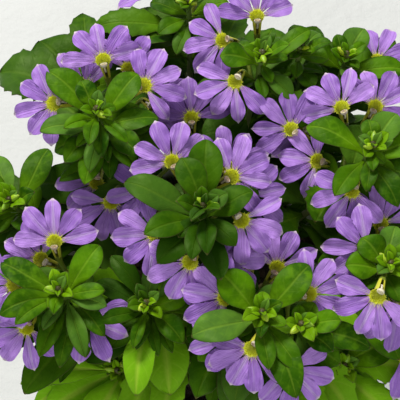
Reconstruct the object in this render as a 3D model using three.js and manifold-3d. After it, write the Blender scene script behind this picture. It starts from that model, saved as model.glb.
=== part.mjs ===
// A potted fan flower: a bushy plant of leafy shoots with purple fan-shaped blooms,
// standing in potting soil in a plain pale nursery pot.
// Millimetres, +Z up, front towards -Y. The origin is the centre of the pot's flat underside.

import * as THREE from 'three';
import { mergeVertices } from 'three/addons/utils/BufferGeometryUtils.js';
import Module from 'manifold-3d';

const wasm = await Module();
wasm.setup();

// Pot and soil
const potHeight = 105;
const potBaseRadius = 39;
const potShoulderRadius = 50;
const potRimRadius = 55;
const potRimHeight = 16;
const potWall = 2;
const potFloor = 3;
const potEdge = 1;
const rimStep = 2.6;
const rimThickness = 1.8;
const shoulderDrop = 3;
const turnedSides = 20;
const drainHoles = 5;
const drainRadius = 4;
const drainCircle = 26;
const drainSides = 8;
const seam = 0.3;
const soilLevel = 96;
const soilRelief = 1.2;
const soilEdgeDrop = 2;
const holeDepth = 18;
const holeRadius = 2.4;

// Shoots
const stemRadius = 1.5;
const stemTipRadius = 0.8;
const stemSides = 4;
const facetHeight = 2;
const facetGap = 0.2;
const crowdedDepth = 17;
const longestFacet = 15;
const widestTurn = 64;
const turnPerLevel = 15;
const furthestFace = 7;
const bladeThickness = 0.65;
const petioleHalf = 0.7;
const lowerCount = 5;
const lowerFrom = 22;
const lowerStep = 11;
const lowerKeep = 14;
const lowerReach = 25;
const lowerWidth = 15;
const spiralTurn = 137.5;
const leafArch = 0.16;
const leafFold = 0.16;
const youngLeafTo = 9.5;
const largeLeafFrom = 26;
const clearFrom = 0.25;

// Blooms
const petalLength = 13.6;
const petalWidth = 6.4;
const petalAngles = [-78, -39, 0, 38, 77];
const angleSpread = 4.5;
const lengthSpread = 0.14;
const throatRadius = 2.3;
const tubeDrop = 7.2;
const tubeBack = 4.6;
const tubeEndRadius = 1.1;
const stalkRadius = 1.1;
const stalkFootRadius = 0.7;
const stalkSlope = 0.45;
const stalkDrop = 1.5;
const stalkTop = 4;
const budRadius = 1.3;
const budSpots = [[70, 2.6, 1.5, 2], [-45, 3.2, 1, 2]];

// The plant's showy side faces the front at this height above level.
const facing = THREE.MathUtils.degToRad(62);
const towardsView = new THREE.Vector3(0, -Math.cos(facing), Math.sin(facing));

const up = new THREE.Vector3(0, 0, 1);

const colours = {
  pot: { color: 0xd9d6cd, roughness: 0.55, metalness: 0 },
  soil: { color: 0x2e2118, roughness: 0.95, metalness: 0 },
  leaf: { color: 0x3f7a0c, roughness: 0.45, metalness: 0 },
  petal: { color: 0xa87fd6, roughness: 0.6, metalness: 0 },
};

// Each leaf is a row: where its tip lies, as an azimuth in degrees, a reach and a drop in mm from
// the shoot's own tip, then its width, and how far below the tip it leaves the stem.
// foot is where the stem enters the soil, tip is its growing point.
const shoots = {
  a: {
    foot: [-12, 8],
    tip: [-34, 25, 182],
    leaves: [
      [135, 24, 3, 10.5, 10],
      [118, 11, -2, 7.5, 4],
      [50, 20, 2, 10.5, 9],
      [2, 20, 5, 9, 10],
      [196, 19, 4, 9.5, 10],
      [-4, 17, 9, 8, 14],
      [-42, 19, 8, 9.5, 13],
      [213, 12, 1, 6.5, 6],
      [-125, 18, 9, 9.5, 13],
      [-113, 20, 7, 8, 11],
      [-99, 23, 9, 8, 12],
      [-79, 21, 8, 7.5, 14],
      [-58, 20, 12, 8.5, 16],
      [-105, 12, 3, 6.5, 7],
      [-83, 15, 5, 7, 7],
      [-55, 15, 3, 5.5, 8],
      [206, 17, 13, 9.5, 17],
      [80, 5, -3, 4, 3],
      [10, 6, -2, 4.5, 3],
      [200, 30, 44, 13, 52],
    ],
  },
  b: {
    foot: [0, -1],
    tip: [1, -12, 184],
    leaves: [
      [88, 27, 5, 11.5, 11],
      [112, 18, -1, 9.5, 6],
      [154, 27, 5, 11.5, 11],
      [184, 20, 5, 9, 10],
      [-134, 20, 8, 9.5, 12],
      [-103, 18, 4, 7.5, 8],
      [-74, 20, 10, 9.5, 13],
      [-86, 14, 2, 6.5, 6],
      [-48, 15, 4, 8, 9],
      [20, 17, 5, 10, 10],
      [35, 9, 1, 6.5, 5],
      [155, 8, 1, 6, 6],
      [-133, 11, 4, 7, 8],
      [95, 5, -3, 4, 3],
      [-10, 5, -2, 4, 3],
      [-110, 6, -1, 4.5, 4],
    ],
  },
  c: {
    foot: [-14, -11],
    tip: [-44, -35, 172],
    leaves: [
      [150, 22, 3, 9.5, 9],
      [54, 20, 2, 9.5, 9],
      [197, 18, 4, 9, 9],
      [-14, 15, 4, 7, 8],
      [3, 14, 2, 6, 7],
      [-40, 18, 8, 7.5, 12],
      [-97, 8, 0, 5.5, 4],
      [-142, 15, 3, 6.5, 7],
      [-112, 13, 3, 6, 7],
      [-108, 19, 10, 8.5, 13],
      [-90, 21, 11, 8, 14],
      [-74, 20, 9, 7.5, 12],
      [-62, 17, 12, 8, 14],
      [110, 6, -2, 4.5, 3],
      [60, 5, -3, 4, 3],
      [-160, 27, 24, 15, 34],
      [65, 41, 29, 14, 34],
      [180, 27, 36, 14, 46],
    ],
  },
  d: {
    foot: [-5, -15],
    tip: [-17, -36, 164],
    leaves: [
      [124, 21, 2, 6.5, 7],
      [152, 19, 4, 7, 8],
      [175, 15, 5, 6.5, 9],
      [-166, 14, 4, 5.5, 7],
      [80, 13, -1, 6, 5],
      [-106, 14, 4, 5, 7],
      [-44, 16, 5, 8.5, 9],
      [14, 13, 4, 7, 8],
      [-97, 26, 10, 10, 15],
      [118, 6, -2, 4, 3],
      [-160, 6, -1, 4.5, 3],
      [-80, 31, 26, 13, 34],
      [-104, 33, 34, 14, 44],
    ],
  },
  e: {
    foot: [6, -17],
    tip: [19, -44, 176],
    leaves: [
      [132, 19, 2, 11.5, 8],
      [48, 22, 1, 11, 8],
      [187, 22, 3, 11.5, 9],
      [-84, 17, 3, 6.5, 8],
      [-68, 26, 6, 10, 11],
      [-57, 20, 5, 7.5, 10],
      [-30, 8, 1, 5, 5],
      [-96, 8, 0, 4.5, 4],
      [100, 5, -3, 4.5, 3],
      [200, 6, -1, 4.5, 4],
      [-110, 24, 20, 12, 28],
      [-140, 26, 30, 13, 40],
    ],
  },
  ee: {
    foot: [13, -12],
    tip: [31, -46, 171],
    leaves: [
      [-38, 12, 3, 7.5, 7],
      [15, 12, 3, 8, 7],
      [60, 9, 2, 6.5, 6],
      [-85, 14, 6, 7.5, 9],
      [-12, 17, 9, 8.5, 12],
      [-60, 6, -1, 4.5, 3],
      [20, 5, -2, 4.5, 3],
      [-72, 27, 24, 13, 32],
      [-40, 29, 28, 14, 38],
    ],
  },
  f: {
    foot: [6, 13],
    tip: [21, 49, 180],
    leaves: [
      [180, 14, 2, 9.5, 7],
      [-52, 17, 8, 8, 10],
      [36, 21, 4, 7.5, 9],
      [68, 11, 0, 5, 5],
      [32, 9, 0, 5, 5],
      [-10, 9, 1, 5, 5],
      [135, 11, 3, 6, 7],
      [-70, 10, 4, 5, 7],
      [150, 5, -2, 4.5, 3],
      [60, 5, -3, 4, 3],
      [215, 17, 9, 9, 13],
      [105, 24, 22, 13, 30],
    ],
  },
  ff: {
    foot: [13, 18],
    tip: [35, 56, 174],
    leaves: [
      [-20, 10, 3, 7.5, 6],
      [10, 9, 1, 6.5, 5],
      [45, 10, 1, 6, 5],
      [-70, 13, 8, 9, 11],
      [-45, 15, 8, 8.5, 12],
      [-100, 10, 5, 6, 8],
      [95, 12, 3, 7, 7],
      [130, 6, -1, 4.5, 3],
      [70, 25, 20, 13, 28],
      [-30, 24, 26, 13, 34],
    ],
  },
  fff: {
    foot: [20, 12],
    tip: [52, 58, 166],
    leaves: [
      [60, 13, 0, 9.5, 7],
      [-5, 21, 6, 10.5, 10],
      [155, 13, 3, 8.5, 8],
      [-85, 9, 3, 6.5, 7],
      [-45, 12, 5, 8, 9],
      [110, 9, 0, 6, 5],
      [25, 7, -2, 5, 3],
      [35, 24, 20, 13, 28],
      [80, 25, 24, 13, 32],
    ],
  },
  g: {
    foot: [17, 4],
    tip: [57, 15, 176],
    leaves: [
      [155, 23, 3, 10, 8],
      [57, 16, 2, 10, 8],
      [230, 20, 6, 8.5, 10],
      [-102, 14, 5, 6, 8],
      [-95, 9, 1, 4.5, 5],
      [-55, 8, 1, 4.5, 5],
      [-68, 20, 7, 9, 10],
      [5, 17, 3, 10, 8],
      [95, 10, 0, 6.5, 5],
      [160, 5, -2, 4.5, 3],
      [30, 5, -3, 4.5, 3],
      [-30, 18, 9, 9, 13],
      [20, 27, 24, 14, 32],
      [-25, 28, 34, 14, 44],
      [169, 36, 34, 14, 36],
      [126, 19, 36, 14, 40],
      [201, 35, 35, 14, 40],
    ],
  },
  h: {
    foot: [20, -5],
    tip: [61, -24, 168],
    leaves: [
      [180, 14, 2, 10, 8],
      [130, 13, 2, 9.5, 7],
      [78, 15, 3, 8.5, 8],
      [-80, 12, 3, 7.5, 8],
      [15, 15, 3, 9.5, 8],
      [-30, 15, 5, 9, 9],
      [45, 9, 0, 6.5, 5],
      [-140, 6, -1, 5, 4],
      [100, 5, -3, 4, 3],
      [-55, 18, 10, 9, 14],
      [0, 27, 24, 14, 32],
      [-50, 28, 28, 14, 38],
    ],
  },
  i: {
    foot: [-3, 19],
    tip: [-4, 76, 174],
    leaves: [
      [-104, 18, 8, 6.5, 10],
      [-135, 15, 6, 7.5, 9],
      [-72, 13, 6, 6.5, 9],
      [-35, 14, 5, 8.5, 9],
      [5, 14, 3, 8, 8],
      [170, 14, 4, 8.5, 8],
      [75, 15, 3, 9, 8],
      [150, 6, -2, 4.5, 3],
      [20, 5, -3, 4.5, 3],
      [-158, 31, 11, 11, 18],
      [-170, 36, 20, 13, 28],
      [100, 26, 22, 14, 30],
      [40, 26, 26, 13, 34],
    ],
  },
  k: {
    foot: [-20, 0],
    tip: [-66, 8, 151],
    leaves: [
      [62, 25, 2, 10.5, 7],
      [102, 20, 2, 9.5, 6],
      [140, 14, 2, 9, 7],
      [185, 15, 3, 9, 8],
      [-130, 14, 4, 9, 9],
      [-60, 12, 4, 8, 9],
      [20, 9, 1, 6.5, 6],
      [120, 6, -2, 4.5, 3],
      [-20, 6, -1, 4.5, 4],
      [160, 24, 16, 13, 24],
      [-165, 25, 22, 13, 30],
      [120, 27, 24, 14, 32],
    ],
  },
  l: {
    foot: [20, -15],
    tip: [47, -50, 144],
    leaves: [
      [32, 19, 1, 13, 6],
      [-84, 31, 5, 13.5, 10],
      [-98, 24, 0, 6, 6],
      [-122, 26, 8, 13, 12],
      [0, 26, 4, 13, 9],
      [-45, 27, 8, 13, 14],
      [95, 13, 3, 9, 8],
      [170, 12, 4, 8, 9],
      [120, 6, -2, 4.5, 3],
      [-70, 6, -2, 4.5, 3],
      [-60, 28, 18, 13, 26],
    ],
  },
  j: {
    foot: [-11, 19],
    tip: [-44, 58, 150],
    leaves: [
      [168, 31, 3, 24, 7],
      [91, 33, 3, 13, 10],
      [50, 20, 4, 11, 9],
      [-150, 19, 8, 11, 12],
      [-30, 10, 2, 8, 6],
      [125, 24, 14, 14, 20],
    ],
  },
  m: {
    foot: [-10, -20],
    tip: [-28, -47, 131],
    leaves: [
      [184, 33, 3, 9.5, 6],
      [-155, 27, 9, 15, 10],
      [-112, 24, 6, 14, 9],
      [-70, 15, 3, 9, 6],
      [100, 9, 1, 7, 4],
    ],
  },
};

// Each bloom is a row: its throat's place, the azimuth that its middle petal points to, how far the
// fan leans to the front, and how far its petals rise (positive) or hang (negative).
const blooms = {
  a1: ['a', -33, 48, 176, 100, 28, 0],
  a2: ['a', -49, 32, 174, 192, 24, -4],
  a3: ['a', -19, 39, 174, 25, 24, 0],
  a4: ['a', -40, 44, 166, 125, 28, 4],
  a6: ['a', -36, 15, 150, -100, 24, 0],
  a5: ['a', -25, 49, 169, 60, 28, 8],
  b1: ['b', -9, 8, 176, 115, 28, 0],
  b2: ['b', 10, 2, 177, 30, 26, 0],
  b3: ['b', 13, -13, 176, -50, 26, 0],
  b4: ['b', -14, -17, 174, 185, 26, 0],
  b5: ['b', -3, -25, 171, 238, 26, -4],
  b6: ['b', 7, -25, 171, -78, 26, -4],
  c1: ['c', -47, -16, 166, 93, 28, 0],
  c2: ['c', -52, -20, 161, 150, 28, 4],
  c3: ['c', -59, -30, 164, 205, 22, -6],
  c4: ['c', -56, -40, 153, 240, 24, -6],
  c5: ['c', -36, -35, 150, -60, 24, -4],
  e1: ['e', 16, -19, 156, 100, 28, 0],
  e2: ['e', 25, -22, 159, 62, 28, 0],
  e3: ['ee', 34, -35, 168, 18, 24, 0],
  e4: ['e', 8, -36, 168, 172, 26, 0],
  e5: ['e', 16, -53, 168, 238, 24, -4],
  e6: ['e', 10, -47, 163, 198, 24, -2],
  e7: ['ee', 28, -57, 162, -52, 24, -8],
  f1: ['f', 20, 68, 174, 95, 28, 0],
  f2: ['f', 8, 58, 174, 190, 24, 0],
  f3: ['f', 12, 41, 174, 237, 26, 0],
  f4: ['ff', 35, 31, 160, 150, 24, 0],
  f5: ['fff', 64, 62, 156, 25, 10, 0],
  g1: ['g', 48, 32, 171, 115, 28, 0],
  g2: ['g', 60, 35, 167, 62, 26, 0],
  g3: ['g', 40, 16, 163, 170, 26, 0],
  g4: ['g', 50, 2, 168, 235, 26, -2],
  g5: ['g', 73, 15, 166, 5, 8, 0],
  h1: ['h', 55, -33, 164, 240, 26, -2],
  h2: ['h', 54, -17, 163, 175, 26, 0],
  h3: ['h', 60, -6, 159, 98, 28, 0],
  h4: ['h', 75, -28, 158, -10, 8, -4],
  i1: ['i', -2, 91, 164, 85, -6, 0],
  i2: ['i', -17, 90, 160, 130, -4, 0],
  k1: ['k', -79, 2, 142, 190, 12, -4],
  l1: ['l', 66, -47, 146, -20, 12, -6],
};

// Ways to bend a leaf clear of its neighbours, tried in this order: its tip's place along the line
// of view in mm and sideways in degrees, a share of the reach, and its foot's place down the stem.
const leafBends = [];
for (const slide of [0, -2.5, 3]) {
  for (const [turn, reach] of [[0, 1], [9, 1], [-9, 1], [0, 0.86], [17, 0.95], [-17, 0.95], [0, 0.72]]) {
    for (const rise of [0, 2, -2, 4, -4, 6.5, -6.5]) {
      leafBends.push([rise, turn, reach, slide]);
    }
  }
}

// Ways to set a bloom clear of its neighbours: along the line of view in mm, and its petals' rise.
const bloomShifts = [];
for (const pitch of [0, 9, -9, 18]) {
  for (const rise of [0, 1.5, -1.5, 3, -3, 4.5, -4.5, 6.5, -6.5, 9]) {
    bloomShifts.push([rise, pitch]);
  }
}

// A closed manifold solid of a geometry, and back
function toSolid(geometry) {
  geometry.deleteAttribute('normal');
  geometry.deleteAttribute('uv');
  const merged = mergeVertices(geometry);
  const vertProperties = new Float32Array(merged.attributes.position.array);
  const triVerts = new Uint32Array(merged.index.array);
  return new wasm.Manifold(new wasm.Mesh({ numProp: 3, vertProperties, triVerts }));
}

function toGeometry(solid) {
  const mesh = solid.getMesh();
  const geometry = new THREE.BufferGeometry();
  geometry.setAttribute('position', new THREE.BufferAttribute(mesh.vertProperties, 3));
  geometry.setIndex(new THREE.BufferAttribute(mesh.triVerts, 1));
  geometry.computeVertexNormals();
  return geometry;
}

// A body grown point by point; blades and stalks grow from a four-cornered face of it
class Growth {
  constructor() {
    this.points = [];
    this.index = [];
  }

  add(list) {
    return list.map((point) => this.points.push(point) - 1);
  }

  face(...corners) {
    for (let n = 1; n < corners.length - 1; n += 1) {
      this.index.push(corners[0], corners[n], corners[n + 1]);
    }
  }

  // Triangles between two rows of points, advancing evenly along both
  zip(rowA, rowB, flipped) {
    let a = 0;
    let b = 0;
    while (a < rowA.length - 1 || b < rowB.length - 1) {
      const nextA = (a + 1) / Math.max(rowA.length - 1, 1);
      const nextB = (b + 1) / Math.max(rowB.length - 1, 1);
      const stepA = b === rowB.length - 1 || (a < rowA.length - 1 && nextA < nextB);
      const corners = stepA ? [rowA[a], rowA[a + 1], rowB[b]] : [rowA[a], rowB[b + 1], rowB[b]];
      this.face(...(flipped ? corners.reverse() : corners));
      a += stepA ? 1 : 0;
      b += stepA ? 0 : 1;
    }
  }

  // A blade: each row has its points from left to right and half its thickness as a vector, and
  // both faces are split alike. upper and lower are the left and right corners that it grows from.
  grow(upper, lower, rows) {
    let [above, below] = [upper, lower];
    for (const { line, half } of rows) {
      const nextAbove = this.add(line.map((point) => point.clone().add(half)));
      const nextBelow = this.add(line.map((point) => point.clone().sub(half)));
      this.zip(above, nextAbove, false);
      this.zip(below, nextBelow, true);
      this.face(below.at(-1), nextBelow.at(-1), nextAbove.at(-1), above.at(-1));
      this.face(nextBelow[0], below[0], above[0], nextAbove[0]);
      [above, below] = [nextAbove, nextBelow];
    }
    if (above.length > 1) {
      this.face(...above, ...below.reverse());
    }
  }

  // A blade by itself, closed where it starts
  static blade(rows) {
    const { line, half } = rows[0];
    const upper = line.map((point) => point.clone().add(half));
    const lower = line.map((point) => point.clone().sub(half));
    return Growth.from(upper, lower, rows.slice(1));
  }

  static from(upperPoints, lowerPoints, rows) {
    const body = new Growth();
    const upper = body.add(upperPoints);
    const lower = body.add(lowerPoints);
    body.face(...[...upper].reverse(), ...lower);
    body.grow(upper, lower, rows);
    return body.solid();
  }

  solid() {
    const geometry = new THREE.BufferGeometry();
    const position = this.points.flatMap((point) => point.toArray());
    geometry.setAttribute('position', new THREE.Float32BufferAttribute(position, 3));
    geometry.setIndex(this.index);
    return toSolid(geometry);
  }
}

function direction(azimuth) {
  const angle = THREE.MathUtils.degToRad(azimuth);
  return new THREE.Vector3(Math.cos(angle), Math.sin(angle), 0);
}

// The stem's middle at a level below the tip: upright in the soil and at its tip, leaning between
function stemAt(shoot, level) {
  const height = shoot.tip[2] - level;
  const share = (height - soilLevel) / (shoot.tip[2] - soilLevel);
  const h = THREE.MathUtils.clamp(share, 0, 1);
  const lean = h * h * (3 - 2 * h);
  const x = shoot.foot[0] + (shoot.tip[0] - shoot.foot[0]) * lean;
  const y = shoot.foot[1] + (shoot.tip[1] - shoot.foot[1]) * lean;
  return new THREE.Vector3(x, y, height);
}

function stemRadiusAt(shoot, level) {
  const share = level / (shoot.tip[2] - soilLevel);
  return THREE.MathUtils.lerp(stemTipRadius, stemRadius, Math.min(share, 1));
}

function stemRing(shoot, level, extra) {
  const middle = stemAt(shoot, level);
  const radius = stemRadiusAt(shoot, level) + extra;
  return Array.from({ length: stemSides }, (_, side) => middle.clone()
    .addScaledVector(direction((side * 360) / stemSides), radius));
}

// Levels of the stem's rings: close together where the young leaves stand, a pair at each lower
// leaf or stalk, and others where the stem would be left too coarse
function stemLevels(shoot, lowerLevels) {
  const levels = [];
  for (let level = 1; level <= crowdedDepth; level += facetHeight) {
    levels.push(level);
  }
  for (const level of [...lowerLevels].sort((p, q) => p - q)) {
    if (level - facetHeight / 2 > levels.at(-1) + facetGap) {
      levels.push(level - facetHeight / 2, level + facetHeight / 2);
    }
  }
  const soil = shoot.tip[2] - soilLevel;
  const bottom = soil + holeDepth - 1;
  const full = [...levels, soil, bottom].sort((p, q) => p - q);
  return full.flatMap((level, n) => {
    const gap = level - (full[n - 1] ?? level);
    return gap > longestFacet && level < bottom ? [level - gap / 2, level] : [level];
  });
}

function stemSolid(shoot, extra) {
  const body = new Growth();
  startStem(body, shoot, extra);
  return body.solid();
}

// Adds a stem's points and faces to a body, leaving out the faces that something grows from
function startStem(body, shoot, extra, used = new Set()) {
  const rings = shoot.levels.map((level) => body.add(stemRing(shoot, level, extra)));
  const [apex] = body.add([stemAt(shoot, -extra)]);
  for (let side = 0; side < stemSides; side += 1) {
    const next = (side + 1) % stemSides;
    body.face(rings[0][side], rings[0][next], apex);
    for (let n = 0; n < rings.length - 1; n += 1) {
      if (!used.has(`${n}_${side}`)) {
        body.face(rings[n + 1][side], rings[n + 1][next], rings[n][next], rings[n][side]);
      }
    }
  }
  body.face(...[...rings.at(-1)].reverse());
  return rings;
}

// The middle line of a leaf runs from the stem to its tip in one arched curve
function leafLine(shoot, leaf, bend) {
  const [azimuth, reach, drop, , level] = leaf;
  const [rise, turn, share, slide] = bend;
  const base = stemAt(shoot, Math.max(level + slide, facetHeight));
  const end = new THREE.Vector3(...shoot.tip)
    .addScaledVector(direction(azimuth + turn), reach * share)
    .addScaledVector(up, -drop)
    .addScaledVector(towardsView, rise);
  const length = base.distanceTo(end);
  const top = base.clone().lerp(end, 0.5).addScaledVector(up, leafArch * length);
  return new THREE.QuadraticBezierCurve3(base, top, end);
}

// Half the width of a leaf, as a share of its greatest, at a share of its length
const youngOutline = [[0.55, 1]];
const smallOutline = [[0.44, 0.86], [0.8, 0.84]];
const toothedOutline = [[0.34, 0.6], [0.52, 0.97], [0.57, 0.84], [0.76, 0.98], [0.81, 0.76]];

function leafRows(shoot, leaf, bend, extra, from = 0) {
  const [, reach, , width] = leaf;
  const curve = leafLine(shoot, leaf, bend);
  const chord = curve.v2.clone().sub(curve.v0);
  const side = up.clone().cross(chord).normalize();
  const normal = chord.clone().cross(side).normalize();
  const half = normal.clone().multiplyScalar(bladeThickness / 2 + extra);
  const base = curve.getPoint(from);
  const rows = [{
    line: [petioleHalf + extra, -petioleHalf - extra].map((x) => base.clone().addScaledVector(side, x)),
    half,
  }];
  const grown = reach >= largeLeafFrom ? toothedOutline : smallOutline;
  const young = reach < youngLeafTo;
  const outline = young ? youngOutline : grown;
  for (const [t, share] of outline) {
    const middle = curve.getPoint(t);
    const reachOut = (width / 2) * share + extra;
    const edge = (x) => middle.clone()
      .addScaledVector(side, x)
      .addScaledVector(normal, leafFold * Math.abs(x));
    const line = young ? [edge(reachOut), edge(-reachOut)] : [edge(reachOut), middle, edge(-reachOut)];
    rows.push({ line, half });
  }
  const outward = chord.clone().normalize();
  rows.push({ line: [curve.getPoint(1).addScaledVector(outward, extra)], half });
  return rows;
}

// A bloom's own axes: along its middle petal, across it, and out of its face
function bloomAxes(bloom, shift, number) {
  const [, x, y, z, aim, lean, pitch] = bloom;
  const [rise, extraPitch] = shift;
  const tilt = new THREE.Matrix4().makeRotationX(THREE.MathUtils.degToRad(lean));
  const face = up.clone().applyMatrix4(tilt);
  const middle = direction(aim).applyMatrix4(tilt);
  const across = face.clone().cross(middle);
  const turn = THREE.MathUtils.degToRad(-(pitch + extraPitch));
  middle.applyAxisAngle(across, turn);
  face.applyAxisAngle(across, turn);
  const throat = new THREE.Vector3(x, y, z).addScaledVector(towardsView, rise);
  const tubeEnd = throat.clone().addScaledVector(face, -tubeDrop).addScaledVector(middle, -tubeBack);
  return { middle, across, face, throat, tubeEnd, number };
}

// A corolla is one body: five petals grow from the rim of the throat, and the tube hangs from it.
// Its rings of points share these angles, the borders between petals and one point at the back.
const backAngle = 180;
const petalOutline = [[0.42, 0.7], [0.74, 1]];

function petalBorders(angles) {
  const half = (angles[1] - angles[0]) / 2;
  const borders = angles.slice(1).map((angle, n) => (angle + angles[n]) / 2);
  return [angles[0] - half, ...borders, angles[4] + half];
}

// Evenly spread values from -0.5 to 0.5, so that no two blooms or fillers are quite alike
function vary(number, step) {
  return ((number * 0.618034 + step * 0.381966) % 1) - 0.5;
}

function petalsOf(number) {
  return petalAngles.map((angle, n) => ({
    angle: angle + angleSpread * vary(number, n),
    length: petalLength * (1 + lengthSpread * vary(number + 7, n)),
  }));
}

// Petals rise a little from the throat and bend back towards their tips
function petalHeight(t) {
  return 1.8 * t - 3 * t * t;
}

function petalRows(axes, petal, extra) {
  const turn = THREE.MathUtils.degToRad(petal.angle);
  const along = axes.middle.clone().multiplyScalar(Math.cos(turn))
    .addScaledVector(axes.across, Math.sin(turn));
  const side = axes.face.clone().cross(along);
  const half = axes.face.clone().multiplyScalar(bladeThickness / 2 + extra);
  const point = (t, x) => axes.throat.clone()
    .addScaledVector(along, throatRadius + (petal.length - throatRadius / 2) * t)
    .addScaledVector(side, x)
    .addScaledVector(axes.face, petalHeight(t));
  const rows = petalOutline.map(([t, share]) => {
    const x = (petalWidth / 2) * share + extra;
    return { line: [point(t, x), point(t, -x)], half };
  });
  rows.push({ line: [point(1, 0).addScaledVector(along, extra)], half });
  return rows;
}

function corollaSolid(axes, extra) {
  const body = new Growth();
  const petals = petalsOf(axes.number);
  const rimAngles = [...petalBorders(petals.map((petal) => petal.angle)), backAngle];
  const around = (centre, radius) => body.add(rimAngles.map((angle) => {
    const turn = THREE.MathUtils.degToRad(angle);
    return centre.clone()
      .addScaledVector(axes.middle, radius * Math.cos(turn))
      .addScaledVector(axes.across, radius * Math.sin(turn));
  }));
  const half = axes.face.clone().multiplyScalar(bladeThickness / 2 + extra);
  const top = around(axes.throat.clone().add(half), throatRadius + extra);
  const bottom = around(axes.throat.clone().sub(half), throatRadius + extra);
  const end = axes.tubeEnd.clone().addScaledVector(axes.face, -extra);
  const endRing = around(end, tubeEndRadius + extra);
  rimAngles.forEach((_, n) => {
    const next = (n + 1) % rimAngles.length;
    body.face(endRing[n], endRing[next], bottom[next], bottom[n]);
    if (n < petals.length) {
      const rows = petalRows(axes, petals[n], extra);
      body.grow([top[next], top[n]], [bottom[next], bottom[n]], rows);
    } else {
      body.face(bottom[n], bottom[next], top[next], top[n]);
    }
  });
  body.face(...top);
  body.face(...endRing.reverse());
  return body.solid();
}

// The green ovary on its short stalk reaches from the stem to just short of the bloom's tube
function stalkLevel(shoot, axes) {
  const span = Math.hypot(axes.tubeEnd.x - shoot.tip[0], axes.tubeEnd.y - shoot.tip[1]);
  return Math.max(shoot.tip[2] - (axes.tubeEnd.z - stalkDrop - stalkSlope * span), stalkTop);
}

function stalkRows(shoot, axes, extra) {
  const start = stemAt(shoot, stalkLevel(shoot, axes));
  const along = axes.tubeEnd.clone().sub(start).normalize();
  const short = seam + tubeEndRadius * Math.sin(along.angleTo(axes.face));
  const end = axes.tubeEnd.clone().addScaledVector(along, -short);
  const side = up.clone().cross(along).normalize();
  const normal = along.clone().cross(side);
  const row = (point, radius) => ({
    line: [radius, -radius].map((x) => point.clone().addScaledVector(side, x)),
    half: normal.clone().multiplyScalar(radius),
  });
  return [row(start, stalkFootRadius + extra), row(end, stalkRadius + extra)];
}

// Small closed buds stand among the youngest leaves
function budRows(shoot, spot, extra) {
  const [azimuth, reach, rise, level] = spot;
  const start = stemAt(shoot, level);
  const outward = direction(azimuth);
  const side = up.clone().cross(outward);
  const end = new THREE.Vector3(...shoot.tip).addScaledVector(outward, reach).addScaledVector(up, rise);
  const row = (share, radius) => ({
    line: [radius, -radius].map((x) => start.clone().lerp(end, share).addScaledVector(side, x)),
    half: end.clone().sub(start).cross(side).setLength(radius),
  });
  return [row(0.2, 0.6 + extra), row(0.6, budRadius + extra), row(1, 0.45 + extra)];
}

const leastCrossing = 0.00001;

// Everything placed so far, each with the name of the node that it belongs to
const placed = [];

function boxesMeet(a, b) {
  return [0, 1, 2].every((n) => a.min[n] < b.max[n] && b.min[n] < a.max[n]);
}

function meets(solid, others) {
  const box = solid.boundingBox();
  return others.some((other) => boxesMeet(box, other.box)
    && solid.intersect(other.solid).volume() > leastCrossing);
}

function meetsOthers(solid, owner) {
  return meets(solid, placed.filter((other) => other.owner !== owner));
}

function place(owner, solid) {
  placed.push({ owner, solid, box: solid.boundingBox() });
}

const plant = new THREE.Group();

function addNode(name, solid, look) {
  const material = new THREE.MeshStandardMaterial(colours[look]);
  const mesh = new THREE.Mesh(toGeometry(solid), material);
  mesh.name = name;
  plant.add(mesh);
}

// A solid turned from a profile of radius and height
function turned(profile, relief = () => 0) {
  const points = profile.map(([radius, z]) => new THREE.Vector2(radius, z));
  const lathe = new THREE.LatheGeometry(points, turnedSides).rotateX(Math.PI / 2);
  const position = lathe.attributes.position;
  for (let n = 0; n < position.count; n += 1) {
    const [x, y, z] = [position.getX(n), position.getY(n), position.getZ(n)];
    position.setZ(n, z + relief(x, y, z));
  }
  return toSolid(lathe);
}

function drilled(solid, x, y, z, radius, height, sides) {
  const hole = new THREE.CylinderGeometry(radius, radius, height, sides).rotateX(Math.PI / 2);
  return solid.subtract(toSolid(hole.translate(x, y, z)));
}

// Pot: its profile goes from the underside's middle up the outside, over the rim and down inside
function makePot() {
  const inner = potBaseRadius - potWall;
  const rimFoot = potHeight - potRimHeight;
  let pot = turned([
    [0, 0],
    [potBaseRadius - potEdge, 0],
    [potBaseRadius, potEdge],
    [potShoulderRadius, rimFoot],
    [potShoulderRadius + rimStep, rimFoot + potEdge],
    [potRimRadius, potHeight - potEdge],
    [potRimRadius - potEdge, potHeight],
    [potRimRadius - potEdge - rimThickness, potHeight],
    [potShoulderRadius - potWall, rimFoot - shoulderDrop],
    [inner, potFloor],
    [0, potFloor],
  ]);
  for (let n = 0; n < drainHoles; n += 1) {
    const angle = (2 * Math.PI * n) / drainHoles;
    const [x, y] = [drainCircle * Math.cos(angle), drainCircle * Math.sin(angle)];
    pot = drilled(pot, x, y, 0, drainRadius, 4 * potFloor, drainSides);
  }
  return pot;
}

// Soil: fills the pot to just under its rim, with a gently uneven top and a plain hole for each stem
function makeSoil() {
  const lowRadius = potBaseRadius - potWall - seam;
  const shoulder = potHeight - potRimHeight - shoulderDrop;
  const shoulderRadius = potShoulderRadius - potWall - seam;
  const relief = (x, y, z) => (z < soilLevel - soilEdgeDrop / 2
    ? 0
    : soilRelief * Math.sin(x / 7) * Math.cos(y / 6));
  let soil = turned([
    [0, potFloor + seam],
    [lowRadius, potFloor + seam],
    [shoulderRadius, shoulder],
    [shoulderRadius + seam, soilLevel - soilEdgeDrop],
    [0.7 * shoulderRadius, soilLevel],
    [0, soilLevel],
  ], relief);
  for (const { foot } of Object.values(shoots)) {
    soil = drilled(soil, foot[0], foot[1], soilLevel, holeRadius, 2 * holeDepth, stemSides);
  }
  return soil;
}

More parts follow.
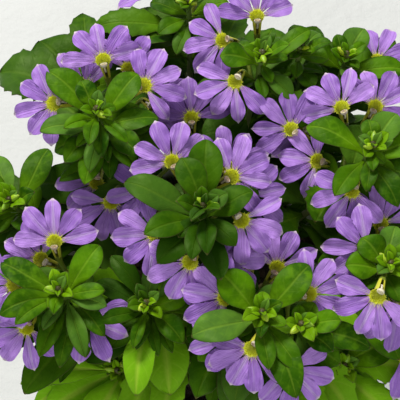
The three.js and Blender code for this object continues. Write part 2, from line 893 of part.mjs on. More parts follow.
// A shoot grows from its stem's faces: each leaf, stalk and bud takes the free face that is nearest
// to its level and azimuth.
function takeFace(shoot, azimuth, level) {
  let best = null;
  for (let n = 0; n < shoot.levels.length - 1; n += 1) {
    const [top, foot] = [shoot.levels[n], shoot.levels[n + 1]];
    const away = Math.abs((top + foot) / 2 - level);
    for (let side = 0; side < stemSides && foot - top < facetHeight + facetGap; side += 1) {
      const middle = ((side + 0.5) * 360) / stemSides;
      const turn = Math.abs(((azimuth - middle + 540) % 360) - 180);
      const cost = away + turn / turnPerLevel;
      const free = turn < widestTurn && !shoot.used.has(`${n}_${side}`);
      if (free && cost < (best?.cost ?? furthestFace)) {
        best = { n, side, cost };
      }
    }
  }
  return best;
}

function azimuthOf(rows) {
  const out = rows.at(-1).line[0].clone().sub(rows[0].line[0].clone().lerp(rows[0].line[1], 0.5));
  return THREE.MathUtils.radToDeg(Math.atan2(out.y, out.x));
}

// The left and right corners of a stem's face on its upper and lower rings
function faceCorners(rings, face) {
  const next = (face.side + 1) % stemSides;
  return [face.n, face.n + 1].map((n) => [rings[n][next], rings[n][face.side]]);
}

// Grows rows from a face of a shoot, if one is free and nothing is in the way
function attach(shoot, rows, level) {
  const face = takeFace(shoot, azimuthOf(rows), level);
  if (!face) {
    return false;
  }
  const rings = shoot.levels.map((ring) => stemRing(shoot, ring, 0));
  const solid = Growth.from(...faceCorners(rings, face), rows.slice(1));
  if (meets(solid, placed)) {
    return false;
  }
  shoot.used.add(`${face.n}_${face.side}`);
  shoot.grown.push({ face, rows: rows.slice(1) });
  place(shoot.name, solid);
  return true;
}

function shootSolid(shoot) {
  const body = new Growth();
  const rings = startStem(body, shoot, 0, shoot.used);
  for (const { face, rows } of shoot.grown) {
    body.grow(...faceCorners(rings, face), rows);
  }
  return body.solid();
}

// Lower leaves that the rows above leave out stand in a spiral down each stem
function lowerLeaves(number, depth) {
  const leaves = [];
  for (let n = 0; n < lowerCount; n += 1) {
    const level = lowerFrom + lowerStep * Math.floor(n / 2);
    if (level < depth - lowerKeep) {
      const azimuth = (spiralTurn * n + 50 * number) % 360;
      const reach = lowerReach * (1 + 0.2 * vary(number, n));
      leaves.push([azimuth, reach, level - 3 + 8 * vary(n, number), lowerWidth, level]);
    }
  }
  return leaves;
}

// Stems first, each with rings where its lower leaves and stalks will stand
for (const [number, [name, shoot]] of Object.entries(shoots).entries()) {
  shoot.leaves.push(...lowerLeaves(number, shoot.tip[2] - soilLevel));
  const stalks = Object.values(blooms)
    .filter((bloom) => bloom[0] === name)
    .map((bloom) => stalkLevel(shoot, bloomAxes(bloom, [0, 0], 0)));
  const lower = [...shoot.leaves.map((leaf) => leaf[4]), ...stalks].filter((level) => level > crowdedDepth);
  Object.assign(shoot, {
    name: `shoot_${name}`,
    levels: stemLevels(shoot, lower),
    used: new Set(),
    grown: [],
  });
  place(shoot.name, stemSolid(shoot, 0));
}

// Then each bloom with its stalk, set clear of what is there
const corollas = {};
for (const [number, [name, bloom]] of Object.entries(blooms).entries()) {
  const nodeName = `bloom_${name}`;
  const shoot = shoots[bloom[0]];
  bloomShifts.find((shift) => {
    const axes = bloomAxes(bloom, shift, number);
    if (meetsOthers(corollaSolid(axes, seam), nodeName)
      || meetsOthers(Growth.blade(stalkRows(shoot, axes, seam)), shoot.name)) {
      return false;
    }
    corollas[nodeName] = corollaSolid(axes, 0);
    place(nodeName, corollas[nodeName]);
    const standing = attach(shoot, stalkRows(shoot, axes, 0), stalkLevel(shoot, axes));
    if (!standing) {
      placed.pop();
    }
    return standing;
  });
}

for (const shoot of Object.values(shoots)) {
  for (const spot of budSpots) {
    if (!meetsOthers(Growth.blade(budRows(shoot, spot, seam)), shoot.name)) {
      attach(shoot, budRows(shoot, spot, 0), spot[3]);
    }
  }
}

// Then leaf by leaf, each bent clear of other shoots, of blooms and of its own shoot's blades. A
// leaf for which no bend is clear is left out.
for (const shoot of Object.values(shoots)) {
  for (const leaf of shoot.leaves) {
    const own = placed.filter((other) => other.owner === shoot.name);
    leafBends.find((bend) => !meetsOthers(Growth.blade(leafRows(shoot, leaf, bend, seam)), shoot.name)
      && !meets(Growth.blade(leafRows(shoot, leaf, bend, seam, clearFrom)), own)
      && attach(shoot, leafRows(shoot, leaf, bend, 0), leaf[4] + bend[3]));
  }
}

addNode('pot', makePot(), 'pot');
addNode('soil', makeSoil(), 'soil');
for (const shoot of Object.values(shoots)) {
  addNode(shoot.name, shootSolid(shoot), 'leaf');
}
for (const [name, solid] of Object.entries(corollas)) {
  addNode(name, solid, 'petal');
}

export default plant;
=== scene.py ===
"""A potted fan flower: leafy shoots with purple fan-shaped blooms, in a plain pale nursery pot.

Sizes are worked out in millimetres, as on the part's drawing, and put into each mesh in metres.
"""

import bmesh
import bpy
import numpy as np
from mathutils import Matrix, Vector


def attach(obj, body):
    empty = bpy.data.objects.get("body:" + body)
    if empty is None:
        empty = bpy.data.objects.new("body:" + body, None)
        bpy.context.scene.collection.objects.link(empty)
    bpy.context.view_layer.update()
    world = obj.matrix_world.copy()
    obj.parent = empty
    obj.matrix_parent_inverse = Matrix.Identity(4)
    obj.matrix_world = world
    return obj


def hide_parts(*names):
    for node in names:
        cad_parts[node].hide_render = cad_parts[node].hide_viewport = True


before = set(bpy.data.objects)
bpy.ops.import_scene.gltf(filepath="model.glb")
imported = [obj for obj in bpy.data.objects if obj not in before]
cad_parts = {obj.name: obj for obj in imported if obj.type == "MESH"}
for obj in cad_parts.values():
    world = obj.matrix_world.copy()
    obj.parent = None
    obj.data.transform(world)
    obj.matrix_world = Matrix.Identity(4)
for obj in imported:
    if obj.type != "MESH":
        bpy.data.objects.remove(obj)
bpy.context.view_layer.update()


# Pot
# One moulding of pale plastic: a tapered wall, a stepped rim that lets empty pots nest, and a flat
# floor with five drain holes. The mould leaves a faint ring above its foot, and handling scuffs it.

METRE = 0.001
DRAINS = 5
DRAIN_RADIUS = 4.0
DRAIN_CIRCLE = 26.0
POT_SIDES = 100
SPOKE_CORNERS = 5
WELD = 0.00001

# Shares of the way from a drain hole's edge to the outline of its fifth of the floor
FLOOR_STEPS = np.array([0, 0.08, 0.3, 0.62, 1])

# Radius and height of the wall's section, up its outside and down its inside
POT_WALL = [
    (38.0, 0.0), (38.7, 0.25), (39.0, 0.9), (39.5, 5.0), (39.9, 8.0), (39.75, 8.5), (40.1, 9.4),
    (43.0, 33.0), (46.5, 61.0), (49.4, 84.0), (49.7, 86.6), (50.0, 88.6), (50.9, 89.1),
    (52.1, 89.7), (52.6, 90.6), (53.4, 95.0), (54.2, 99.6), (54.9, 103.2), (54.95, 104.2),
    (54.6, 104.8), (54.0, 105.0), (52.9, 105.0), (52.3, 104.7), (51.9, 104.0), (50.6, 98.0),
    (48.2, 87.0), (47.6, 83.0), (43.0, 47.0), (38.2, 9.0), (37.6, 4.6), (37.2, 3.4), (36.6, 3.0),
]


def closed_part(points, faces, material=0, **marks):
    """One closed surface: its points in millimetres, its faces as corner numbers counted from its
    own first point, the number of its material, and its marks: vectors at its points that the
    material reads by name."""
    faces = faces.tolist() if isinstance(faces, np.ndarray) else faces
    return {"points": points.reshape(-1, 3), "faces": faces, "material": material, "marks": marks}


def make_piece(name, parts, materials, sharp=40.0):
    """Puts closed surfaces into one mesh object. Edges steeper than the sharp angle in degrees
    stay crisp."""
    points, faces, slots, marks = [], [], [], {}
    count = 0
    for part in parts:
        points.append(part["points"])
        faces += [[corner + count for corner in face] for face in part["faces"]]
        slots += [part["material"]] * len(part["faces"])
        for mark, values in part["marks"].items():
            marks.setdefault(mark, []).append((count, values))
        count += len(part["points"])
    mesh = bpy.data.meshes.new(name)
    mesh.from_pydata((np.concatenate(points) * METRE).tolist(), [], faces)
    for material in materials:
        mesh.materials.append(material)
    mesh.polygons.foreach_set("material_index", np.array(slots, np.int32))
    mesh.polygons.foreach_set("use_smooth", np.ones(len(faces), bool))
    for mark, pieces in marks.items():
        values = np.zeros((count, 3), np.float32)
        for start, part_values in pieces:
            values[start:start + len(part_values)] = part_values
        attribute = mesh.attributes.new(mark, "FLOAT_VECTOR", "POINT")
        attribute.data.foreach_set("vector", values.ravel())
    mesh.update()
    mesh.set_sharp_from_angle(angle=np.radians(sharp))
    piece = bpy.data.objects.new(name, mesh)
    bpy.context.scene.collection.objects.link(piece)
    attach(piece, "root")
    return piece


def grid_faces(rows, columns, wrapped=False):
    """Corner numbers of a grid's cells, each cell going first along the rows' direction and then
    across it. A wrapped grid also joins its last column to its first."""
    corner = np.arange(rows * columns).reshape(rows, columns)
    if wrapped:
        corner = np.concatenate([corner, corner[:, :1]], axis=1)
    cells = [corner[:-1, :-1], corner[1:, :-1], corner[1:, 1:], corner[:-1, 1:]]
    return np.stack(cells, axis=-1).reshape(-1, 4)


def capped_faces(rows, sides):
    """Corner numbers of a row of rings, with a flat cap on the first and on the last. They face
    outwards where the rings turn anticlockwise, seen from the first."""
    corner = np.arange(rows * sides).reshape(rows, sides)
    faces = grid_faces(rows, sides, True).tolist()
    return faces + [corner[0].tolist(), corner[-1, ::-1].tolist()]


def turned(profile, sides):
    """Turns a profile of radius and height about the vertical: each point goes round a circle of
    its radius at its height, a step of one side at a time."""
    angle = np.arange(sides) * 2 * np.pi / sides - np.pi / DRAINS
    radius, height = np.array(profile, float).T
    x = radius[:, None] * np.cos(angle)
    y = radius[:, None] * np.sin(angle)
    z = np.repeat(height[:, None], sides, axis=1)
    return np.stack([x, y, z], axis=-1)


def drained_floor(radius, height):
    """One flat floor with its drain holes, as a ring of cells for each fifth of the disc: every
    ring runs from the hole's edge to the outline of its fifth, in straight steps between them."""
    across = POT_SIDES // DRAINS
    arc = np.linspace(-np.pi / DRAINS, np.pi / DRAINS, across + 1)
    out = np.linspace(0, 1, SPOKE_CORNERS + 2)[1:-1, None]
    rim = radius * np.stack([np.cos(arc), np.sin(arc)], axis=-1)
    outline = np.concatenate([[[0, 0]], out * rim[:1], rim, out[::-1] * rim[-1:]])
    centre = np.array([DRAIN_CIRCLE, 0.0])
    away = outline - centre
    hole = centre + DRAIN_RADIUS * away / np.linalg.norm(away, axis=1, keepdims=True)
    ring = hole + FLOOR_STEPS[:, None, None] * (outline - hole)
    turn = np.arange(DRAINS) * 2 * np.pi / DRAINS
    x = ring[..., 0] * np.cos(turn)[:, None, None] - ring[..., 1] * np.sin(turn)[:, None, None]
    y = ring[..., 0] * np.sin(turn)[:, None, None] + ring[..., 1] * np.cos(turn)[:, None, None]
    return np.stack([x, y, np.full_like(x, height)], axis=-1)


def new_node(tree, kind, *values, **named):
    """A shader node with some of its inputs filled, by their order or by their names: a socket is
    linked, and a value or a colour is set."""
    node = tree.nodes.new(kind)
    for key, value in [*enumerate(values), *named.items()]:
        if isinstance(value, bpy.types.NodeSocket):
            tree.links.new(value, node.inputs[key])
        else:
            node.inputs[key].default_value = value
    return node


def new_material(name, colour, roughness):
    """A material whose shader starts from one colour and one roughness."""
    material = bpy.data.materials.new(name)
    material.use_nodes = True
    material.diffuse_color = (*colour, 1)
    shader = material.node_tree.nodes["Principled BSDF"]
    shader.inputs["Base Color"].default_value = (*colour, 1)
    shader.inputs["Roughness"].default_value = roughness
    return material, material.node_tree, shader


def maths(tree, operation, a, b=0.0):
    """One arithmetic step on two values or sockets."""
    node = new_node(tree, "ShaderNodeMath", a, b)
    node.operation = operation
    return node.outputs[0]


def times(tree, a, b):
    """The product of two values or sockets."""
    return maths(tree, "MULTIPLY", a, b)


def blended(tree, share, a, b):
    """A colour from a to b by a share."""
    node = tree.nodes.new("ShaderNodeMix")
    node.data_type = "RGBA"
    factor, first, second = (node.inputs[place] for place in (0, 6, 7))
    for socket, value in ((factor, share), (first, a), (second, b)):
        if isinstance(value, bpy.types.NodeSocket):
            tree.links.new(value, socket)
        else:
            socket.default_value = (*value, 1)
    return node.outputs[2]


def layered(tree, colour, *layers):
    """A colour with others laid over it in turn, each by its own share."""
    for share, other in layers:
        colour = blended(tree, share, colour, other)
    return colour


def step_up(tree, value, low, high, from_value=0.0, to_value=1.0):
    """A smooth rise from one value to another while the input goes from low to high."""
    node = new_node(tree, "ShaderNodeMapRange", Value=value)
    node.interpolation_type = "SMOOTHSTEP"
    node.inputs["From Min"].default_value = low
    node.inputs["From Max"].default_value = high
    node.inputs["To Min"].default_value = from_value
    node.inputs["To Max"].default_value = to_value
    return node.outputs["Result"]


def speckle_group():
    """Shared grain: coarse and fine clouds of noise on a position, as two values from 0 to 1."""
    tree = bpy.data.node_groups.new("grain", "ShaderNodeTree")
    tree.interface.new_socket("Position", in_out="INPUT", socket_type="NodeSocketVector")
    size = tree.interface.new_socket("Per metre", in_out="INPUT", socket_type="NodeSocketFloat")
    size.default_value = 100
    tree.interface.new_socket("Coarse", in_out="OUTPUT", socket_type="NodeSocketFloat")
    tree.interface.new_socket("Fine", in_out="OUTPUT", socket_type="NodeSocketFloat")
    source = tree.nodes.new("NodeGroupInput")
    sink = tree.nodes.new("NodeGroupOutput")
    for output, finer, detail in (("Coarse", 1.0, 2.0), ("Fine", 6.0, 4.0)):
        scale = times(tree, source.outputs["Per metre"], finer)
        noise = new_node(tree, "ShaderNodeTexNoise", Vector=source.outputs["Position"], Scale=scale,
                         Detail=detail, Roughness=0.6)
        tree.links.new(noise.outputs["Fac"], sink.inputs[output])
    return tree


grain = speckle_group()


def add_grain(tree, per_metre):
    """The shared grain on Object coordinates: its coarse and its fine value."""
    place = tree.nodes.new("ShaderNodeTexCoord")
    node = tree.nodes.new("ShaderNodeGroup")
    node.node_tree = grain
    node.inputs["Per metre"].default_value = per_metre
    tree.links.new(place.outputs["Object"], node.inputs["Position"])
    return node.outputs["Coarse"], node.outputs["Fine"]


def add_bump(tree, shader, height, distance):
    """Raises the surface by a height value times a distance in metres."""
    bump = new_node(tree, "ShaderNodeBump", Height=height, Distance=distance, Strength=1.0)
    tree.links.new(bump.outputs["Normal"], shader.inputs["Normal"])


plastic, tree, shader = new_material("pale pot plastic", (0.62, 0.6, 0.54), 0.45)
coarse, fine = add_grain(tree, 90)
scuffed = step_up(tree, coarse, 0.5, 0.8, 0.0, 0.35)
tone = blended(tree, fine, (0.6, 0.58, 0.52), (0.66, 0.64, 0.58))
tree.links.new(blended(tree, scuffed, tone, (0.5, 0.48, 0.42)), shader.inputs["Base Color"])
tree.links.new(step_up(tree, fine, 0.35, 0.7, 0.36, 0.6), shader.inputs["Roughness"])
add_bump(tree, shader, fine, 0.0002)

wall = turned(POT_WALL, POT_SIDES)
under, inside = drained_floor(*POT_WALL[0]), drained_floor(*POT_WALL[-1])
ring_corners = under.shape[2]
ring_faces = grid_faces(*under.shape[1:3], True)
drain_faces = grid_faces(2, ring_corners, True)
parts = [closed_part(wall, grid_faces(*wall.shape[:2], True)[:, ::-1])]
for sector in range(DRAINS):
    parts.append(closed_part(under[sector], ring_faces[:, ::-1]))
    parts.append(closed_part(inside[sector], ring_faces))
    parts.append(closed_part(np.stack([under[sector, 0], inside[sector, 0]]), drain_faces))
pot = make_piece("pot_moulding", parts, [plastic])

# The wall, the floors and the drain holes are sewn into one skin.
sewn = bmesh.new()
sewn.from_mesh(pot.data)
bmesh.ops.remove_doubles(sewn, verts=sewn.verts, dist=WELD)
sewn.to_mesh(pot.data)
sewn.free()
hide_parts("pot")


# Soil
# Dark potting soil of bark and peat fills the pot to just below its rim. Its top is uneven, with
# loose crumbs, flakes of bark and a few pale grains of perlite on it.

SOIL_LEVEL = 96.0
SOIL_RINGS = np.array([0.6, 3, 6, 9, 12, 15, 18, 21, 24, 27, 30, 33, 36, 39, 42, 45, 47.5, 49.4])
SOIL_EDGE_DROP = 2.6
CRUMBS = 1400
CRUMB_REACH = 48.4
BARK_SHARE = 0.3
PERLITE_SHARE = 0.035

# Radius and height of the soil's section inside the pot, from under the rim to the floor
BURIED_RINGS = np.array([(47.4, 85.0), (42.6, 47.0), (37.8, 9.0), (36.7, 3.3), (0.6, 3.3)])


def marks_of(tree, name):
    """The three values of a mark that the mesh carries."""
    mark = new_node(tree, "ShaderNodeAttribute")
    mark.attribute_name = name
    return new_node(tree, "ShaderNodeSeparateXYZ", Vector=mark.outputs["Vector"]).outputs


earth, tree, shader = new_material("potting soil", (0.03, 0.019, 0.011), 0.95)
coarse, fine = add_grain(tree, 260)
is_bark, is_perlite, _ = marks_of(tree, "crumb")
peat = blended(tree, coarse, (0.014, 0.009, 0.006), (0.06, 0.037, 0.022))
tone = layered(tree, peat, (is_bark, (0.12, 0.066, 0.034)), (is_perlite, (0.7, 0.68, 0.62)))
tree.links.new(tone, shader.inputs["Base Color"])
add_bump(tree, shader, fine, 0.0012)


def soil_height(x, y):
    """The soil's level plus slow waves, and shorter ones across them."""
    slow = 1.2 * np.sin(x / 7) * np.cos(y / 6)
    short = 0.5 * np.sin(x / 2.3 + 1.3 * np.cos(y / 3.1)) * np.cos(y / 1.9 + np.sin(x / 2.7))
    return SOIL_LEVEL + slow + short


angle = np.arange(POT_SIDES) * 2 * np.pi / POT_SIDES
x, y = SOIL_RINGS[:, None] * np.cos(angle), SOIL_RINGS[:, None] * np.sin(angle)
z = soil_height(x, y)
z[-1] = SOIL_LEVEL - SOIL_EDGE_DROP
top = np.stack([x, y, z], axis=-1)
radius, height = BURIED_RINGS.T[:, :, None]
buried = np.stack([radius * np.cos(angle), radius * np.sin(angle), height + 0 * angle], axis=-1)
rounds = np.concatenate([top, buried])
parts = [closed_part(rounds, capped_faces(len(rounds), POT_SIDES))]

# Each crumb is a lump of twelve corners and twenty faces, squashed, turned and roughened.
golden = (1 + 5 ** 0.5) / 2
lump = np.array([
    (-1, golden, 0), (1, golden, 0), (-1, -golden, 0), (1, -golden, 0), (0, -1, golden),
    (0, 1, golden), (0, -1, -golden), (0, 1, -golden), (golden, 0, -1), (golden, 0, 1),
    (-golden, 0, -1), (-golden, 0, 1),
]) / np.hypot(1, golden)
lump_faces = np.array([
    (0, 11, 5), (0, 5, 1), (0, 1, 7), (0, 7, 10), (0, 10, 11), (1, 5, 9), (5, 11, 4),
    (11, 10, 2), (10, 7, 6), (7, 1, 8), (3, 9, 4), (3, 4, 2), (3, 2, 6), (3, 6, 8),
    (3, 8, 9), (4, 9, 5), (2, 4, 11), (6, 2, 10), (8, 6, 7), (9, 8, 1),
])
chance = np.random.default_rng(11)
reach = CRUMB_REACH * np.sqrt(chance.random(CRUMBS))
turn = chance.random(CRUMBS) * 2 * np.pi
spot = np.stack([reach * np.cos(turn), reach * np.sin(turn)], axis=-1)
size = 0.5 + 1.5 * chance.random((CRUMBS, 1)) ** 3
shape = size * (0.6 + 0.9 * chance.random((CRUMBS, 3))) * np.array([1.25, 1.0, 0.6])
spin = chance.random(CRUMBS) * 2 * np.pi
rough = lump * (1 + 0.35 * (chance.random((CRUMBS, len(lump), 1)) - 0.5)) * shape[:, None]
crumbs = np.stack([
    rough[..., 0] * np.cos(spin)[:, None] - rough[..., 1] * np.sin(spin)[:, None],
    rough[..., 0] * np.sin(spin)[:, None] + rough[..., 1] * np.cos(spin)[:, None],
    rough[..., 2],
], axis=-1)
crumbs[..., :2] += spot[:, None]
crumbs[..., 2] += (soil_height(spot[:, 0], spot[:, 1]) + 0.35 * shape[:, 2])[:, None]
bark = (chance.random(CRUMBS) < BARK_SHARE) * chance.random(CRUMBS)
perlite = chance.random(CRUMBS) < PERLITE_SHARE
kinds = np.stack([bark, perlite, np.zeros(CRUMBS)], axis=-1)
crumb_faces = (lump_faces + len(lump) * np.arange(CRUMBS)[:, None, None]).reshape(-1, 3)
parts.append(closed_part(crumbs, crumb_faces, crumb=np.repeat(kinds, len(lump), axis=0)))
soil = make_piece("soil_mass", parts, [earth])
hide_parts("soil")


# Shoots
# Each shoot is one growth: a stem that rises from the soil and leans out, leaves that crowd round
# its growing point, and closed buds among the youngest of them. Mature leaves are thick, with
# little gloss, and widest towards their tips. The largest are toothed, the youngest yellow-green.

# A shoot has its stem's foot in the soil and its growing point. Each of its leaves has the place
# of its tip, as an azimuth in degrees, a reach and a drop from the growing point, then its width,
# and how far below the growing point it leaves the stem. Of its leaves, "ripe" says how much riper
# the young ones are, "pale" how much paler the large ones, partly in their own colour and partly
# with painted light, "shade" how much painted shade darkens all of them, and "dark" how much
# painted shade darkens those on its left. "hang" says how narrow and folded those on the
# viewer's side hang, and "slump" by how many millimetres the lower ones have slumped down the
# stem from where the part has them.
SHOOTS = {
    "a": {
        "foot": (-12, 8),
        "tip": (-34, 25, 182),
        "ripe": 0.15,
        "hang": 1,
        "leaves": [
            (135, 24, 3, 10.5, 10), (118, 11, -2, 7.5, 4), (50, 20, 2, 10.5, 9), (2, 20, 5, 9, 10),
            (196, 19, 4, 9.5, 10), (-4, 17, 9, 8, 14), (-42, 19, 8, 9.5, 13), (213, 12, 1, 6.5, 6),
            (-125, 18, 9, 9.5, 13), (-113, 20, 7, 8, 11), (-99, 23, 9, 8, 12),
            (-79, 21, 8, 7.5, 14), (-58, 20, 12, 8.5, 16), (-105, 12, 3, 6.5, 7),
            (-83, 15, 5, 7, 7), (-55, 15, 3, 5.5, 8), (206, 17, 13, 9.5, 17), (80, 5, -3, 4, 3),
            (10, 6, -2, 4.5, 3), (200, 30, 44, 13, 52),
        ],
    },
    "b": {
        "foot": (0, -1),
        "tip": (1, -12, 184),
        "ripe": 0.3,
        "shade": 0.85,
        "leaves": [
            (88, 27, 5, 11.5, 11), (112, 18, -1, 9.5, 6), (154, 27, 5, 11.5, 11),
            (184, 20, 5, 9, 10), (-134, 20, 8, 9.5, 12), (-103, 18, 4, 7.5, 8),
            (-74, 20, 10, 9.5, 13), (-86, 14, 2, 6.5, 6), (-48, 15, 4, 8, 9), (20, 17, 5, 10, 10),
            (35, 9, 1, 6.5, 5), (155, 8, 1, 6, 6), (-133, 11, 4, 7, 8), (95, 5, -3, 4, 3),
            (-10, 5, -2, 4, 3), (-110, 6, -1, 4.5, 4),
        ],
    },
    "c": {
        "foot": (-14, -11),
        "tip": (-44, -35, 172),
        "hang": 1,
        "slump": 15,
        "leaves": [
            (150, 22, 3, 9.5, 9), (54, 20, 2, 9.5, 9), (197, 18, 4, 9, 9), (-14, 15, 4, 7, 8),
            (3, 14, 2, 6, 7), (-40, 18, 8, 7.5, 12), (-97, 8, 0, 5.5, 4), (-142, 15, 3, 6.5, 7),
            (-112, 13, 3, 6, 7), (-108, 19, 10, 8.5, 13), (-90, 21, 11, 8, 14),
            (-74, 20, 9, 7.5, 12), (-62, 17, 12, 8, 14), (110, 6, -2, 4.5, 3), (60, 5, -3, 4, 3),
            (-160, 27, 24, 15, 34), (65, 41, 29, 14, 34), (180, 27, 36, 14, 46),
        ],
    },
    "d": {
        "foot": (-5, -15),
        "tip": (-17, -36, 164),
        "dark": 1.5,
        "hang": 0.8,
        "pale": 0.55,
        "leaves": [
            (124, 21, 2, 6.5, 7), (152, 19, 4, 7, 8), (175, 15, 5, 6.5, 9), (-166, 14, 4, 5.5, 7),
            (80, 13, -1, 6, 5), (-106, 14, 4, 5, 7), (-44, 16, 5, 8.5, 9), (14, 13, 4, 7, 8),
            (-97, 26, 10, 10, 15), (118, 6, -2, 4, 3), (-160, 6, -1, 4.5, 3),
            (-80, 31, 26, 13, 34), (-104, 33, 34, 14, 44),
        ],
    },
    "e": {
        "foot": (6, -17),
        "tip": (19, -44, 176),
        "leaves": [
            (132, 19, 2, 11.5, 8), (48, 22, 1, 11, 8), (187, 22, 3, 11.5, 9), (-84, 17, 3, 6.5, 8),
            (-68, 26, 6, 10, 11), (-57, 20, 5, 7.5, 10), (-30, 8, 1, 5, 5), (-96, 8, 0, 4.5, 4),
            (100, 5, -3, 4.5, 3), (200, 6, -1, 4.5, 4), (-110, 24, 20, 12, 28),
            (-140, 26, 30, 13, 40),
        ],
    },
    "ee": {
        "foot": (13, -12),
        "tip": (31, -46, 171),
        "pale": 0.6,
        "leaves": [
            (-38, 12, 3, 7.5, 7), (15, 12, 3, 8, 7), (60, 9, 2, 6.5, 6), (-85, 14, 6, 7.5, 9),
            (-12, 17, 9, 8.5, 12), (-60, 6, -1, 4.5, 3), (20, 5, -2, 4.5, 3),
            (-72, 27, 24, 13, 32), (-40, 29, 28, 14, 38),
        ],
    },
    "f": {
        "foot": (6, 13),
        "tip": (21, 49, 180),
        "hang": 0.8,
        "shade": 0.3,
        "leaves": [
            (180, 14, 2, 9.5, 7), (-52, 17, 8, 8, 10), (36, 21, 4, 7.5, 9), (68, 11, 0, 5, 5),
            (32, 9, 0, 5, 5), (-10, 9, 1, 5, 5), (135, 11, 3, 6, 7), (-70, 10, 4, 5, 7),
            (150, 5, -2, 4.5, 3), (60, 5, -3, 4, 3), (215, 17, 9, 9, 13), (105, 24, 22, 13, 30),
        ],
    },
    "ff": {
        "foot": (13, 18),
        "tip": (35, 56, 174),
        "ripe": 0.2,
        "hang": 0.8,
        "shade": 0.4,
        "leaves": [
            (-20, 10, 3, 7.5, 6), (10, 9, 1, 6.5, 5), (45, 10, 1, 6, 5), (-70, 13, 8, 9, 11),
            (-45, 15, 8, 8.5, 12), (-100, 10, 5, 6, 8), (95, 12, 3, 7, 7), (130, 6, -1, 4.5, 3),
            (70, 25, 20, 13, 28), (-30, 24, 26, 13, 34),
        ],
    },
    "fff": {
        "foot": (20, 12),
        "tip": (52, 58, 166),
        "ripe": 0.25,
        "hang": 0.8,
        "leaves": [
            (60, 13, 0, 9.5, 7), (-5, 21, 6, 10.5, 10), (155, 13, 3, 8.5, 8), (-85, 9, 3, 6.5, 7),
            (-45, 12, 5, 8, 9), (110, 9, 0, 6, 5), (25, 7, -2, 5, 3), (35, 24, 20, 13, 28),
            (80, 25, 24, 13, 32),
        ],
    },
    "g": {
        "foot": (17, 4),
        "tip": (57, 15, 176),
        "leaves": [
            (155, 23, 3, 10, 8), (57, 16, 2, 10, 8), (230, 20, 6, 8.5, 10), (-102, 14, 5, 6, 8),
            (-95, 9, 1, 4.5, 5), (-55, 8, 1, 4.5, 5), (-68, 20, 7, 9, 10), (5, 17, 3, 10, 8),
            (95, 10, 0, 6.5, 5), (160, 5, -2, 4.5, 3), (30, 5, -3, 4.5, 3), (-30, 18, 9, 9, 13),
            (20, 27, 24, 14, 32), (-25, 28, 34, 14, 44), (169, 36, 34, 14, 36),
            (126, 19, 36, 14, 40), (201, 35, 35, 14, 40),
        ],
    },
    "h": {
        "foot": (20, -5),
        "tip": (61, -24, 168),
        "leaves": [
            (180, 14, 2, 10, 8), (130, 13, 2, 9.5, 7), (78, 15, 3, 8.5, 8), (-80, 12, 3, 7.5, 8),
            (15, 15, 3, 9.5, 8), (-30, 15, 5, 9, 9), (45, 9, 0, 6.5, 5), (-140, 6, -1, 5, 4),
            (100, 5, -3, 4, 3), (-55, 18, 10, 9, 14), (0, 27, 24, 14, 32), (-50, 28, 28, 14, 38),
        ],
    },
    "i": {
        "foot": (-3, 19),
        "tip": (-4, 76, 174),
        "ripe": 0.2,
        "dark": 0.7,
        "leaves": [
            (-104, 18, 8, 6.5, 10), (-135, 15, 6, 7.5, 9), (-72, 13, 6, 6.5, 9),
            (-35, 14, 5, 8.5, 9), (5, 14, 3, 8, 8), (170, 14, 4, 8.5, 8), (75, 15, 3, 9, 8),
            (150, 6, -2, 4.5, 3), (20, 5, -3, 4.5, 3), (-158, 31, 11, 11, 18),
            (-170, 36, 20, 13, 28), (100, 26, 22, 14, 30), (40, 26, 26, 13, 34),
        ],
    },
    "k": {
        "foot": (-20, 0),
        "tip": (-66, 8, 151),
        "leaves": [
            (62, 25, 2, 10.5, 7), (102, 20, 2, 9.5, 6), (140, 14, 2, 9, 7), (185, 15, 3, 9, 8),
            (-130, 14, 4, 9, 9), (-60, 12, 4, 8, 9), (20, 9, 1, 6.5, 6), (120, 6, -2, 4.5, 3),
            (-20, 6, -1, 4.5, 4), (160, 24, 16, 13, 24), (-165, 25, 22, 13, 30),
            (120, 27, 24, 14, 32),
        ],
    },
    "l": {
        "foot": (20, -15),
        "tip": (47, -50, 144),
        "pale": 0.6,
        "leaves": [
            (32, 19, 1, 13, 6), (-84, 31, 5, 13.5, 10), (-98, 24, 0, 6, 6), (-122, 26, 8, 13, 12),
            (0, 26, 4, 13, 9), (-45, 27, 8, 13, 14), (95, 13, 3, 9, 8), (170, 12, 4, 8, 9),
            (120, 6, -2, 4.5, 3), (-70, 6, -2, 4.5, 3), (-60, 28, 18, 13, 26),
        ],
    },
    "j": {
        "foot": (-11, 19),
        "tip": (-44, 58, 150),
        "dark": 1.15,
        "leaves": [
            (168, 31, 3, 24, 7), (91, 33, 3, 13, 10), (50, 20, 4, 11, 9), (-150, 19, 8, 11, 12),
            (-30, 10, 2, 8, 6), (125, 24, 14, 14, 20),
        ],
    },
    "m": {
        "foot": (-10, -20),
        "tip": (-28, -47, 131),
        "pale": 0.8,
        "leaves": [
            (184, 33, 3, 9.5, 6), (-155, 27, 9, 15, 10), (-112, 24, 6, 14, 9), (-70, 15, 3, 9, 6),
            (100, 9, 1, 7, 4),
        ],
    },
}
ROUND_SIDES = 10
STEM_ROWS = 40
BUD_ROWS = 11
STEM_BURIED = 4
STEM_RADIUS = 0.8
STEM_SWELL = 0.7
NODE_SWELL = 0.12
NODE_STEP = 5.5
LOWER_LEAVES = 5
LOWER_FROM = 22
LOWER_STEP = 11
LOWER_KEEP = 14
LOWER_REACH = 25
LOWER_WIDTH = 15
SPIRAL_TURN = 137.5
BLADE_HALF = 0.325
LEAF_ARCH = 0.16
LEAF_FOLD = 0.16
USUAL_HANG = 0.25
# The level direction of a shoot's left, where "dark" paints shade on its leaves
PAINTED_SHADE_SIDE = np.array([-0.82, 0.57, 0.0])

# The materials' places in a shoot's mesh
LEAF_SKIN, STEM_SKIN, BUD_SKIN = range(3)
